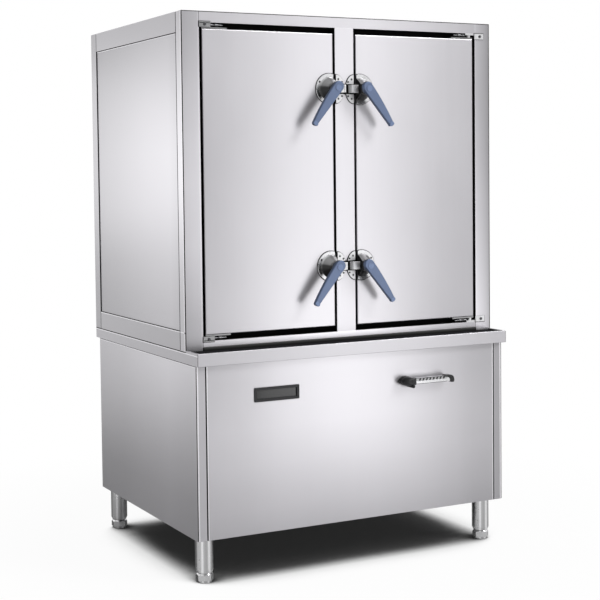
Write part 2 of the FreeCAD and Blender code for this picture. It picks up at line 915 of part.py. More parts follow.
def water_fittings():
    """Brass inlet with the float's clevis, the level pipe and the drain pipe."""
    outer_end = base_back + fitting_stand
    box_wall = float_box_back - skin_sheet
    inner_end = box_wall - fitting_flange
    inlet = spigot(water_inlet_radius, float_x, inner_end, water_inlet_height)
    flange_radius = water_inlet_radius + fitting_step + fitting_flange
    flange = rod_y(flange_radius, float_x, inner_end, box_wall, water_inlet_height)
    bore = rod_y(water_inlet_radius / 2, float_x, float_box_back, outer_end, water_inlet_height)
    ear_y0 = float_pivot_y() - 2 * float_rod_radius
    ear_bottom = float_pivot_height - 2 * float_rod_radius
    ear_top = water_inlet_height + water_inlet_radius / 2
    gap = float_rod_radius + pipe_hole_clearance
    clevis = []
    for side in (-1, 1):
        x0, x1 = sorted((float_x + side * gap, float_x + side * water_inlet_radius))
        ear = box(x0, x1, ear_y0, box_wall, ear_bottom, ear_top)
        hole = rod_x(float_pin_radius + float_pin_fit, x0, x1, float_pivot_y(), float_pivot_height)
        clevis.append(ear.cut(hole))
    inlet = inlet.fuse([flange] + clevis).cut(bore).removeSplitter()
    y, z = float_box_y(), level_pipe_height
    level = rod_x(level_pipe_radius, boiler_half_width, float_box_x, y, z)
    level = level.cut(rod_x(level_pipe_radius * pipe_bore_share, boiler_half_width, float_box_x, y, z))
    drain_bore = drain_radius * pipe_bore_share
    drain = spigot(drain_radius, drain_x, boiler_back, drain_height)
    drain = drain.cut(rod_y(drain_bore, drain_x, boiler_back, outer_end, drain_height))
    return [inlet, level, drain]


def cabinet_frame():
    """Corner posts and the rails between them, all rectangular hollow sections."""
    rear_in = back - rear_post_size
    rear_inner = half_width - rear_post_size
    low, high = cabinet_bottom, roof_underside
    tubes = both_sides([
        square_tube(post_inner, half_width, face, flange_front, low, high, "z"),
        square_tube(rear_inner, half_width, rear_in, back, low, high, "z"),
    ])
    tubes.append(square_tube(-post_inner, post_inner, face, flange_front, low, opening_bottom, "x"))
    tubes.append(square_tube(-post_inner, post_inner, face, flange_front, opening_top, high, "x"))
    for z0, z1 in ((low, low + side_rail_height), (high - side_rail_height, high)):
        rear = square_tube(-rear_inner, rear_inner, back - side_rail_depth, back, z0, z1, "x")
        side = square_tube(half_width - side_rail_depth, half_width, flange_front, rear_in, z0, z1, "y")
        tubes.append(rear)
        tubes.extend(both_sides([side]))
    return tubes


def centre_mullion():
    """Hollow post between the two doors, drilled for the keeper screws."""
    post = square_tube(-mullion_half, mullion_half, face, flange_front, opening_bottom, opening_top, "z")
    return post.cut(both_sides(keeper_screws(screw_clearance)))


def cabinet_side_panels():
    """Flat side panels set a little below the faces of the posts and rails."""
    outer = half_width - panel_recess
    return both_sides([box(
        outer - skin_sheet, outer,
        flange_front, back - rear_post_size,
        cabinet_bottom + side_rail_height, roof_underside - side_rail_height,
    )])


def cabinet_back_panel():
    half = half_width - rear_post_size
    outer = back - panel_recess
    return box(
        -half, half, outer - skin_sheet, outer,
        cabinet_bottom + side_rail_height, roof_underside - side_rail_height,
    )


def roof_panel():
    return box(-half_width, half_width, face, back, roof_underside, overall_height)


def cabinet_insulation():
    """Slabs between the chambers and the outer panels, and in the centre divider."""
    gap = insulation_gap
    front = flange_back + gap
    rear_post = back - rear_post_size - gap
    panel_low = cabinet_bottom + side_rail_height + gap
    panel_high = roof_underside - side_rail_height - gap
    skin_inner = half_width - panel_recess - skin_sheet - gap
    liner_outer = chamber_outer_x + liner_sheet + gap
    liner_back = chamber_back + liner_sheet + gap
    rail_inner = half_width - side_rail_depth - gap
    floor_under = chamber_floor - liner_sheet - gap
    ceiling_over = chamber_ceiling + liner_sheet + gap
    divider = chamber_inner_x - liner_sheet - gap
    side = box(liner_outer, skin_inner, front, rear_post, panel_low, panel_high)
    rear_half = liner_outer - gap
    rear_skin = back - panel_recess - skin_sheet - gap
    rear = box(-rear_half, rear_half, liner_back, rear_skin, panel_low, panel_high)
    roof = box(-rail_inner, rail_inner, front, rear_post, ceiling_over, roof_underside - gap)
    floor = box(-rail_inner, rail_inner, front, rear_post, cabinet_bottom + gap, floor_under)
    holes = []
    for x in (-chamber_middle_x, chamber_middle_x):
        holes.append(rod_z(riser_radius + riser_clearance, x, burner_y, cabinet_bottom, chamber_floor))
    middle = box(-divider, divider, front, liner_back - 2 * gap, floor_under + gap, ceiling_over - gap)
    return both_sides([side]) + [rear, roof, floor.cut(holes), middle]


def chamber_liners():
    """Welded liner sheets of each chamber and the flanges that its door gasket closes on."""
    low = chamber_floor - liner_sheet
    high = chamber_ceiling + liner_sheet
    inner_x = chamber_inner_x
    outer_x = chamber_outer_x
    rear = chamber_back + liner_sheet
    floor = box(inner_x, outer_x, flange_back, chamber_back, low, chamber_floor)
    floor = floor.cut(rod_z(riser_radius + riser_clearance, chamber_middle_x, burner_y, low, chamber_floor))
    walls = [
        box(outer_x, outer_x + liner_sheet, flange_back, rear, low, high),
        box(inner_x - liner_sheet, inner_x, flange_back, rear, low, high),
        box(inner_x, outer_x, chamber_back, rear, low, high),
        box(inner_x, outer_x, flange_back, chamber_back, chamber_ceiling, high),
        floor,
    ]
    flange_x0 = mullion_half - flange_lap
    flange_x1 = post_inner + flange_lap
    flange_z0 = opening_bottom - flange_lap
    flange_z1 = opening_top + flange_lap
    flanges = [
        box(flange_x0, flange_x1, flange_front, flange_back, flange_z0, mouth_bottom),
        box(flange_x0, flange_x1, flange_front, flange_back, mouth_top, flange_z1),
        box(flange_x0, mouth_inner_x, flange_front, flange_back, mouth_bottom, mouth_top),
        box(mouth_outer_x, flange_x1, flange_front, flange_back, mouth_bottom, mouth_top),
    ]
    return both_sides(walls + flanges)


def tray_racks():
    """Uprights that stand off the chamber walls, and twelve pairs of tray runners a chamber."""
    solids = []
    walls = (
        (rack_outer_face, chamber_outer_x, rack_outer_face, -1),
        (chamber_inner_x, rack_inner_face, rack_inner_face, 1),
    )
    for x0, x1, inner_face, inward in walls:
        for offset in (upright_end_offset, runner_length - upright_end_offset - upright_width):
            y0 = runner_front + offset
            solids.append(square_tube(
                x0, x1, y0, y0 + upright_width, chamber_floor, chamber_ceiling, "z",
            ))
        for level in range(tray_levels):
            top = chamber_floor + first_level_rise + tray_pitch * level
            solids.append(tray_runner(inner_face, inward, top))
    return both_sides(solids)


def tray_runner(x, inward, top):
    """Angle runner: a ledge that carries the tray's edge over a flange that hangs down."""
    y1 = runner_front + runner_length
    ledge_x = sorted((x, x + inward * runner_ledge))
    flange_x = sorted((x, x + inward * runner_sheet))
    ledge = box(ledge_x[0], ledge_x[1], runner_front, y1, top - runner_sheet, top)
    flange = box(flange_x[0], flange_x[1], runner_front, y1, top - runner_flange, top)
    return ledge.fuse(flange).removeSplitter()


def steam_diffusers():
    """Slotted covers over the risers, open underneath."""
    half_x = diffuser_width / 2
    half_y = diffuser_length / 2
    top = chamber_floor + diffuser_height
    x = chamber_middle_x
    outer = box(x - half_x, x + half_x, burner_y - half_y, burner_y + half_y, chamber_floor, top)
    inner = box(
        x - half_x + liner_sheet, x + half_x - liner_sheet,
        burner_y - half_y + liner_sheet, burner_y + half_y - liner_sheet,
        chamber_floor, top - liner_sheet,
    )
    cover = outer.cut(inner)
    slots = []
    pitch = diffuser_length / (diffuser_slots + 1)
    for i in range(diffuser_slots):
        y = burner_y - half_y + pitch * (i + 1)
        slots.append(box(
            x - half_x / 2, x + half_x / 2,
            y - diffuser_slot_width / 2, y + diffuser_slot_width / 2,
            top - liner_sheet, top,
        ))
    return both_sides([cover.cut(slots)])


def hinge_levels():
    """Bottom and top hinge: the frame surface it stands on and the direction of its pin."""
    return ((opening_bottom, 1), (opening_top, -1))


def hinge_brackets():
    """Pivot brackets on the rails: the right ones have a wing on the stile, the left ones a lip."""
    brackets = []
    for z, up in hinge_levels():
        for wing in (True, False):
            bracket = hinge_bracket(z, up, wing)
            brackets.append(bracket if wing else mirrored(bracket))
    return brackets


def hinge_bracket(z, up, wing):
    strap_face = z + up * (door_end_gap - hinge_strap_thickness)
    boss_end = strap_face - up * hinge_washer_gap
    pin_end = z + up * (door_end_gap - hinge_washer_gap)
    low, high = sorted((z, z + up * hinge_plate))
    plate = box(post_inner - bracket_length, post_inner, face, face + hinge_strap_width, low, high)
    low, high = sorted((z, boss_end))
    boss = rod_z(hinge_boss_radius, hinge_x, hinge_y, low, high)
    low, high = sorted((z, pin_end))
    pin = rod_z(hinge_pin_radius, hinge_x, hinge_y, low, high)
    if wing:
        x0, x1 = post_inner - bracket_wing_lap, post_inner + bracket_wing_length
    else:
        x0, x1 = post_inner - bracket_length, post_inner
    low, high = bracket_leaf(z, up, wing)
    leaf = box(x0, x1, face - bracket_lip_thickness, face, low, high)
    return plate.fuse([boss, pin, leaf]).removeSplitter()


def bracket_leaf(z, up, wing):
    """Heights that a bracket's front leaf covers: the door's end gap, and on a lip some of the rail."""
    if wing:
        return sorted((z, z + up * door_end_gap))
    strap_face = z + up * (door_end_gap - hinge_strap_thickness)
    return sorted((z - up * bracket_lip_lap, strap_face - up * hinge_washer_gap))


def door_hinge_straps():
    """Straps along the door's bottom and top edges, each with the hole for its pin."""
    straps = []
    for z, up in hinge_levels():
        near = z + up * (door_end_gap - hinge_strap_thickness)
        far = z + up * door_end_gap
        low, high = sorted((near, far))
        x0 = door_outer_x - hinge_strap_length
        strap = box(x0, door_outer_x, face + skin_sheet, face + hinge_strap_width, low, high)
        hole = rod_z(hinge_pin_radius + hinge_fit, hinge_x, hinge_y, low, high)
        straps.append(strap.cut(hole))
    return straps


def door_outer_skin():
    """Folded door skin: the front sheet with rounded edges and four sides, open at the back."""
    rear = face + door_thickness - skin_sheet
    outer = box(door_inner_x, door_outer_x, face, rear, door_bottom, door_top)
    outer = outer.makeFillet(door_edge_radius, edges_at(outer, 1, face))
    inner = box(
        door_inner_x + skin_sheet, door_outer_x - skin_sheet,
        face + skin_sheet, rear,
        door_bottom + skin_sheet, door_top - skin_sheet,
    )
    return outer.cut([inner] + latch_screws(screw_clearance))


def plug_frustum(y0, height):
    """Raised centre of the door's inner pan, with sloping sides."""
    x0 = door_inner_x + pan_plug_inset
    x1 = door_outer_x - pan_plug_inset
    z0 = door_bottom + pan_plug_inset
    z1 = door_top - pan_plug_inset
    taper = pan_plug_taper
    wires = []
    for y, shrink in ((y0, 0.0), (y0 + height, taper)):
        corners = [
            vec(x0 + shrink, y, z0 + shrink), vec(x1 - shrink, y, z0 + shrink),
            vec(x1 - shrink, y, z1 - shrink), vec(x0 + shrink, y, z1 - shrink),
        ]
        wires.append(Part.makePolygon(corners + corners[:1]))
    return Part.makeLoft(wires, True, True)


def door_inner_pan():
    """Inner pan that closes the door's back, pressed out towards the chamber in its middle."""
    rear = face + door_thickness
    plate = box(door_inner_x, door_outer_x, rear - skin_sheet, rear, door_bottom, door_top)
    plate = plate.fuse(plug_frustum(rear, pan_plug_height))
    return plate.cut(plug_frustum(rear - skin_sheet, pan_plug_height)).removeSplitter()


def door_insulation():
    core = box(
        door_inner_x + skin_sheet, door_outer_x - skin_sheet,
        face + skin_sheet, face + door_thickness - skin_sheet,
        door_bottom + skin_sheet, door_top - skin_sheet,
    )
    return core.cut(latch_screws(screw_clearance))


def door_gasket():
    """Gasket ring on the inner pan, just clear of the chamber's flange when the door is shut."""
    y0 = face + door_thickness
    y1 = flange_front - gasket_clearance
    inset = gasket_inset
    outer = box(
        door_inner_x + inset, door_outer_x - inset, y0, y1, door_bottom + inset, door_top - inset,
    )
    inset = gasket_inset + gasket_width
    hole = box(
        door_inner_x + inset, door_outer_x - inset, y0, y1, door_bottom + inset, door_top - inset,
    )
    return outer.cut(hole)


def latch_levels():
    return (lower_latch_z, upper_latch_z)


def facet_cut(shape, y0, y1, z):
    """Takes away what lies past the door's free edge, on the mullion's side."""
    reach = latch_plate_radius + latch_plate_thickness
    waste = box(
        door_inner_x - reach, door_inner_x + latch_facet_gap, y0, y1, z - reach, z + reach,
    )
    return shape.cut(waste)


def latch_screws(clearance):
    """Screws of the latches' base plates, or their holes when a clearance is given."""
    top = face - latch_plate_thickness
    return [
        screw(latch_x + dx, top, z + up * dz, clearance)
        for z in latch_levels()
        for dx, dz in latch_screw_offsets
        for up in (1, -1)
    ]


def latch_base_plates():
    """Round base plates of the latches, cut off at the door's free edge."""
    plates = []
    top = face - latch_plate_thickness
    for z in latch_levels():
        plate = rod_y(latch_plate_radius, latch_x, top, face, z)
        plate = plate.makeChamfer(latch_plate_chamfer, edges_at(plate, 1, top))
        plate = facet_cut(plate, top, face, z)
        plates.append(plate.cut(latch_screws(screw_clearance)))
    return plates


def latch_hubs():
    """Conical hubs that carry the lever spindles, each with a pocket for the cam."""
    hubs = []
    seat = face - latch_plate_thickness
    cone_end = seat - hub_cone_height
    end = seat - hub_height
    for z in latch_levels():
        cone = Part.makeCone(
            hub_base_radius, hub_top_radius, hub_cone_height, vec(latch_x, seat, z), vec(0, -1, 0),
        )
        hub = cone.fuse(rod_y(hub_top_radius, latch_x, end, cone_end, z))
        pocket_start = seat - hub_pocket_floor
        pocket_end = pocket_start - cam_height - 2 * cam_clearance
        pocket = rod_y(hub_pocket_radius, latch_x, pocket_end, pocket_start, z)
        bore = rod_y(spindle_radius + spindle_fit, latch_x, end, pocket_end, z)
        hub = facet_cut(hub, end, seat, z)
        hubs.append(hub.cut([pocket, bore] + latch_screws(screw_clearance)).removeSplitter())
    return hubs


def latch_spindle(z):
    """Spindle with the cam whose nose stands just short of the strike's lip."""
    start = face - latch_plate_thickness - hub_pocket_floor - cam_clearance
    cam_end = start - cam_height
    lever_rear = face - latch_plate_thickness - hub_height - lever_gap
    end = lever_rear - lever_boss_height - lever_thickness / 2
    cam = rod_y(cam_radius, latch_x, cam_end, start, z)
    nose = box(latch_x - cam_reach, latch_x, cam_end, start, z - cam_radius / 2, z + cam_radius / 2)
    shaft = rod_y(spindle_radius, latch_x, end, start, z)
    return cam.fuse([nose, shaft]).removeSplitter()


def latch_lever(z):
    """Tapered paddle lever with its boss, drawn upright and tilted outwards about the spindle."""
    rear = face - latch_plate_thickness - hub_height - lever_gap
    grip_rear = rear - lever_boss_height
    grip_front = grip_rear - lever_thickness
    wide = lever_half_width
    slim = lever_tip_half_width
    shoulder = lever_top - wide
    tip = lever_tip_round - lever_length
    points = {
        "inner_top": vec(-wide, grip_rear, shoulder),
        "top": vec(0, grip_rear, lever_top),
        "outer_top": vec(wide, grip_rear, shoulder),
        "outer_middle": vec(lever_middle_half_width, grip_rear, -lever_middle_drop),
        "outer_tip": vec(slim, grip_rear, tip),
        "tip": vec(0, grip_rear, -lever_length),
        "inner_tip": vec(-slim, grip_rear, tip),
    }
    edges = [
        Part.Arc(points["inner_top"], points["top"], points["outer_top"]).toShape(),
        Part.Arc(points["outer_top"], points["outer_middle"], points["outer_tip"]).toShape(),
        Part.Arc(points["outer_tip"], points["tip"], points["inner_tip"]).toShape(),
        Part.LineSegment(points["inner_tip"], points["inner_top"]).toShape(),
    ]
    grip = plate_y(edges, grip_rear, grip_front)
    grip = grip.makeFillet(lever_edge_radius, edges_at(grip, 1, grip_front))
    boss = rod_y(lever_boss_radius, 0, grip_rear, rear, 0)
    cap = rod_y(lever_cap_radius, 0, grip_front - lever_cap_height, grip_front, 0)
    lever = grip.fuse([boss, cap]).removeSplitter()
    lever = lever.cut(rod_y(spindle_radius, 0, grip_rear - lever_thickness / 2, rear, 0))
    lever.rotate(vec(0, 0, 0), vec(0, 1, 0), -lever_tilt)
    lever.translate(vec(latch_x, 0, z))
    return lever


def keeper_screws(clearance):
    """Screws of the right-hand keepers, or their holes when a clearance is given."""
    top = face - latch_plate_thickness
    return [
        screw(mullion_half - inset, top, z + up * dz, clearance)
        for z in latch_levels()
        for inset, dz in keeper_screw_offsets
        for up in (1, -1)
    ]


def latch_keepers():
    """Half-oval keepers on the mullion with the strike blocks that the cams pull against."""
    solids = []
    top = face - latch_plate_thickness
    edge = mullion_half - keeper_edge_gap
    tall = keeper_half_height
    for z in latch_levels():
        oval = Part.Ellipse(vec(edge, top, z + tall), vec(edge - keeper_reach, top, z), vec(edge, top, z))
        plate = plate_y([oval.toShape()], top, face)
        waste = box(edge, edge + tall, top, face, z - tall, z + tall)
        plate = plate.cut([waste] + keeper_screws(screw_clearance))
        half = strike_height / 2
        end = face - strike_reach
        block = box(edge - strike_width, edge, end, top, z - half, z + half)
        lip = box(edge, edge + strike_lip_overhang, end, end + strike_lip, z - half, z + half)
        block = block.fuse(lip).removeSplitter()
        block = block.makeChamfer(strike_chamfer, edges_at(block, 1, end))
        solids.extend([plate, block])
    return both_sides(solids)


def bracket_bolts():
    """One domed bolt on each hinge bracket's visible leaf."""
    bolts = []
    front = face - bracket_lip_thickness
    outer = front - bracket_bolt_head
    wing_x = post_inner + bracket_wing_length - bracket_bolt_inset
    lip_x = -post_inner + bracket_length / 2
    for z, up in hinge_levels():
        for x, wing in ((wing_x, True), (lip_x, False)):
            height = sum(bracket_leaf(z, up, wing)) / 2
            head = rod_y(bracket_bolt_radius, x, outer, front, height)
            bolts.append(head.makeFillet(bracket_bolt_head / 2, edges_at(head, 1, outer)))
    return bolts


def single(shape):
    return shape if isinstance(shape, list) else [shape]


def all_nodes():
    nodes = {
        "base_frame": base_frame(),
        "leg_tubes": [leg_tube(x, y) for x, y in leg_places().values()],
        "base_side_panels": both_sides([base_side_panel()]),
        "base_front_panel": base_front_panel(),
        "base_back_panel": base_back_panel(),
        "burner_tray": burner_tray(),
        "tabletop": tabletop(),
        "boiler_tank": boiler_tank(),
        "burner": burner(),
        "flue_outlet": flue_outlet(),
        "gas_pipes": gas_pipes(),
        "gas_valve_body": gas_valve_body(),
        "gas_lever_hub": gas_lever_hub(),
        "gas_lever_arm": gas_lever_arm(),
        "gas_lever_end_cap": gas_lever_end_cap(),
        "sight_window_bezel": sight_window_bezel(),
        "sight_window_glass": sight_window_glass(),
        "float_box": float_box(),
        "float_arm": float_arm(),
        "water_fittings": water_fittings(),
        "cabinet_frame": cabinet_frame(),
        "centre_mullion": centre_mullion(),
        "cabinet_side_panels": cabinet_side_panels(),
        "cabinet_back_panel": cabinet_back_panel(),
        "roof_panel": roof_panel(),
        "cabinet_insulation": cabinet_insulation(),
        "chamber_liners": chamber_liners(),
        "tray_racks": tray_racks(),
        "steam_diffusers": steam_diffusers(),
        "hinge_brackets": hinge_brackets(),
        "latch_keepers": latch_keepers(),
        "frame_screws": both_sides(keeper_screws(0.0)) + bracket_bolts(),
    }
    for name, (x, y) in leg_places().items():
        nodes["adjuster_foot_" + name] = adjuster_foot(x, y)
    door_parts = {
        "door_outer_skin": door_outer_skin(),
        "door_inner_pan": door_inner_pan(),
        "door_insulation": door_insulation(),
        "door_gasket": door_gasket(),
        "door_hinge_straps": door_hinge_straps(),
        "latch_base_plates": latch_base_plates(),
        "latch_hubs": latch_hubs(),
        "door_screws": latch_screws(0.0),
        "upper_latch_lever": latch_lever(upper_latch_z),
        "lower_latch_lever": latch_lever(lower_latch_z),
        "upper_latch_spindle": latch_spindle(upper_latch_z),
        "lower_latch_spindle": latch_spindle(lower_latch_z),
    }
    for name, shape in door_parts.items():
        nodes["right_" + name] = shape
        nodes["left_" + name] = [mirrored(solid) for solid in single(shape)]
    return nodes


def main():
    os.makedirs("parts", exist_ok=True)
    for name, shape in all_nodes().items():
        solids = [solid for item in single(shape) for solid in item.Solids]
        whole = solids[0] if len(solids) == 1 else Part.makeCompound(solids)
        whole.exportStep(os.path.join("parts", name + ".step"))


main()
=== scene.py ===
import json
import math

import bmesh
import bpy
from mathutils import Matrix, Vector


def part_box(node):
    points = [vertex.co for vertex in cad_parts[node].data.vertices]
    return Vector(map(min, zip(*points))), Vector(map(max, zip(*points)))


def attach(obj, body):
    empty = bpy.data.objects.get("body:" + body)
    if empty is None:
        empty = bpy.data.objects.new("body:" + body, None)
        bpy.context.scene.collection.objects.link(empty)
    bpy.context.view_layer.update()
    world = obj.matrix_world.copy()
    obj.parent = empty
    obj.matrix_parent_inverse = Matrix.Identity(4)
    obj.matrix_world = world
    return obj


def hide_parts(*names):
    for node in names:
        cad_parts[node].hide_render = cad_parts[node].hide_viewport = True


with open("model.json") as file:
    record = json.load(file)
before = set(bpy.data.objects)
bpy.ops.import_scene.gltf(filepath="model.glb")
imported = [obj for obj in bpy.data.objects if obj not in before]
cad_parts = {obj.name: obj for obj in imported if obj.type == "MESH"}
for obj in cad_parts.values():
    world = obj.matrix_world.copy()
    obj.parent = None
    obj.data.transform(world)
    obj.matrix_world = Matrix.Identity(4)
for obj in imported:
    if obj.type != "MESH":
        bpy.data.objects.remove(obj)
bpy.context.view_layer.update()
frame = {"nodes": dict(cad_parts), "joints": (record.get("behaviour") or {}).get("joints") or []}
CAD = frame["nodes"]
MM = 0.001
TO_RIGHT, TO_REAR, UPWARDS = (1.0, 0.0, 0.0), (0.0, 1.0, 0.0), (0.0, 0.0, 1.0)


# Node materials

class Tree:
    """Short calls for building a node tree."""

    def __init__(self, tree):
        self.tree = tree

    def node(self, kind, props=None, **inputs):
        made = self.tree.nodes.new(kind)
        for key, value in (props or {}).items():
            setattr(made, key, value)
        for key, value in inputs.items():
            socket = int(key[1:]) if key[1:].isdigit() else key.replace("_", " ")
            self.feed(made.inputs[socket], value)
        return made

    def feed(self, socket, value):
        if isinstance(value, bpy.types.NodeSocket):
            self.tree.links.new(value, socket)
        else:
            socket.default_value = value

    def math(self, operation, a, b=0.0):
        return self.node("ShaderNodeMath", {"operation": operation}, i0=a, i1=b).outputs[0]

    def dot(self, vector, direction):
        return self.node("ShaderNodeVectorMath", {"operation": "DOT_PRODUCT"}, i0=vector,
                         i1=direction).outputs["Value"]

    def span(self, value, lo, hi, to_lo=0.0, to_hi=1.0, kind="LINEAR"):
        return self.node("ShaderNodeMapRange", {"interpolation_type": kind}, Value=value, From_Min=lo,
                         From_Max=hi, To_Min=to_lo, To_Max=to_hi).outputs[0]

    def mix(self, factor, a, b):
        return self.node("ShaderNodeMix", {"data_type": "RGBA"}, i0=factor, i6=a, i7=b).outputs[2]

    def blend(self, factor, a, b):
        return self.math("ADD", self.math("MULTIPLY", b, factor),
                         self.math("MULTIPLY", a, self.math("SUBTRACT", 1.0, factor)))

    def looked_at(self):
        """1 for what the camera, a mirror or a clear surface looks at, 0 for the light on the object."""
        path = self.node("ShaderNodeLightPath")
        seen = self.math("ADD", path.outputs["Is Camera Ray"], path.outputs["Is Glossy Ray"])
        return self.math("MINIMUM", self.math("ADD", seen, path.outputs["Is Transmission Ray"]), 1.0)


class Paint(Tree):
    """One node material: a Principled shader and what drives its colour, roughness and bump."""

    def __init__(self, name, metallic, **fixed):
        self.mat = bpy.data.materials.new(name)
        self.mat.use_nodes = True
        super().__init__(self.mat.node_tree)
        self.shader = self.tree.nodes["Principled BSDF"]
        self.shader.inputs["Metallic"].default_value = metallic
        for key, value in fixed.items():
            self.shader.inputs[key.replace("_", " ")].default_value = value
        self.coords = self.node("ShaderNodeTexCoord").outputs["Object"]

    def noise(self, scale, detail=2.0, rough=0.5, distortion=0.0):
        """A noise of features per metre along each axis, 0 to 1."""
        grain = self.node("ShaderNodeMapping", Vector=self.coords, Scale=scale)
        return self.node("ShaderNodeTexNoise", Vector=grain.outputs[0], Scale=1.0, Detail=detail,
                         Roughness=rough, Distortion=distortion).outputs["Fac"]

    def edges(self):
        """1 along the object's outer edges, 0 on its flats."""
        return self.span(self.node("ShaderNodeNewGeometry").outputs["Pointiness"], 0.51, 0.56)

    def folds(self, radius):
        """1 along sharp edges and folds, 0 on the flats between them."""
        soft = self.node("ShaderNodeBevel", {"samples": 4}, Radius=radius).outputs[0]
        return self.span(self.dot(soft, self.node("ShaderNodeNewGeometry").outputs["True Normal"]), 0.97, 0.8)

    def facing(self, direction):
        """0 to 1 as the surface turns from away from a direction of the object to towards it."""
        turned = self.dot(self.node("ShaderNodeTexCoord").outputs["Normal"], direction)
        return self.span(turned, -1.0, 1.0)

    def place(self):
        """The surface's own x, y and z."""
        return self.node("ShaderNodeSeparateXYZ", Vector=self.coords).outputs[:3]

    def profile(self, value, stops):
        """A factor along a coordinate, read from (millimetres, factor) stops; factors go up to 2."""
        first, last = stops[0][0], stops[-1][0]
        halves = [((at - first) / (last - first), factor / 2.0) for at, factor in stops]
        return self.math("MULTIPLY", self.ramp(self.span(value, first * MM, last * MM), halves), 2.0)

    def beyond(self, value, limit):
        return self.math("GREATER_THAN", value, limit)

    def scale(self, color, factor):
        return self.node("ShaderNodeVectorMath", {"operation": "SCALE"}, i0=color, Scale=factor).outputs[0]

    def ramp(self, value, stops):
        """A grey tone for each value, read from (position, tone) stops."""
        made = self.node("ShaderNodeValToRGB", Fac=value)
        elements = made.color_ramp.elements
        while len(elements) < len(stops):
            elements.new(0.5)
        for element, (place, tone) in zip(elements, stops):
            element.position = place
            element.color = (tone, tone, tone, 1.0)
        return made.outputs["Color"]

    def times(self, a, b):
        return self.node("ShaderNodeMix", {"data_type": "RGBA", "blend_type": "MULTIPLY"}, i0=1.0, i6=a,
                         i7=b).outputs[2]

    def crevices(self, reach):
        """1 on open surfaces, falling to 0 deep in corners and gaps; the materials paint shade there with it.
        """
        return self.node("ShaderNodeAmbientOcclusion", {"samples": 4}, Distance=reach).outputs["AO"]

    def set(self, key, value):
        self.feed(self.shader.inputs[key], value)

    def bump(self, height, strength, depth):
        self.set("Normal", self.node("ShaderNodeBump", Strength=strength, Distance=depth,
                                     Height=height).outputs[0])


def shade(color, factor):
    """A colour made lighter or darker, as a socket takes it."""
    return tuple(min(1.0, c * factor) for c in color) + (1.0,)


# features per metre of each texture along x, y and z
GRAIN = {"Z": (1600.0, 1600.0, 9.0), "X": (9.0, 1600.0, 1600.0), "Y": (1600.0, 9.0, 1600.0)}
BANDS = {"Z": (60.0, 60.0, 0.7), "X": (0.7, 60.0, 60.0), "Y": (60.0, 0.7, 60.0)}
SMEARS, CLOUDS, DUST = (2.2, 2.2, 1.6), (14.0, 14.0, 11.0), (9.0, 9.0, 9.0)
MARKS, SPOTS = (160.0, 160.0, 40.0), (70.0, 70.0, 70.0)
# how much roughness rises with streaks and smears, with clouds and water spots, and with peel and dust
STREAK_DULL, CLOUD_DULL, SPOT_DULL, PEEL_DULL, DUST_DULL = 0.06, 0.08, 0.12, 0.10, 0.12
# how strongly the painted highlight on folds and the rubbed edges show, and how dark the painted shade in
# gaps gets
FOLD_HIGHLIGHT, FOLD_GLOSS, POLISHED_FOLD_HIGHLIGHT, RUBBED = 0.8, 0.05, 0.5, 0.6
SHEET_GAP_SHADE, CHROME_GAP_SHADE, COAT_GAP_SHADE = 0.1, 0.2, 0.5
# painted shade: a coat's rim is dark where the piece's own surface turns square to this axis, which is fixed
# to the piece
RIM_SHADE_AXIS = (-0.515, -0.857, 0.0)


def brushed(name, color, rough, grain="Z", uneven=0.02, anisotropic=0.5, turn=0.0, fold_width=1.6,
            fold_gain=1.4, painted_light=None, crevice=0.02):
    """Brushed stainless: hairlines along the grain, faint bands and smears, painted highlights on folds,
    painted shade in gaps, and painted light by place where given.
    """
    p = Paint(name, 1.0, Anisotropic=anisotropic, Anisotropic_Rotation=turn)
    hair = p.noise(GRAIN[grain], 3.0, 0.6)
    band = p.noise(BANDS[grain], 2.0, 0.5)
    smear = p.noise(SMEARS, 3.0, 0.55, 0.6)
    streaks = p.blend(0.3, hair, band)
    tone = p.blend(0.5, streaks, smear)
    fold = p.folds(fold_width * MM)
    base = p.mix(p.span(tone, 0.3, 0.7), shade(color, 1.0 - uneven), shade(color, 1.0 + uneven))
    # painted light and shade: the colour is scaled by place
    if painted_light:
        base = p.scale(base, painted_light(p))
    # painted highlight: folds and sharp edges are made lighter
    base = p.mix(p.math("MULTIPLY", fold, FOLD_HIGHLIGHT), base, shade(color, fold_gain))
    # painted shade: corners and gaps are darkened by ambient occlusion
    base = p.mix(p.span(p.crevices(crevice), 0.2, 0.8), shade(color, SHEET_GAP_SHADE), base)
    p.set("Base Color", base)
    dull = p.math("MULTIPLY", p.math("ADD", streaks, smear), STREAK_DULL)
    gloss = p.math("ADD", dull, rough - STREAK_DULL)
    p.set("Roughness", p.math("SUBTRACT", gloss, p.math("MULTIPLY", fold, FOLD_GLOSS)))
    p.bump(hair, 0.02, 0.0001)
    return p


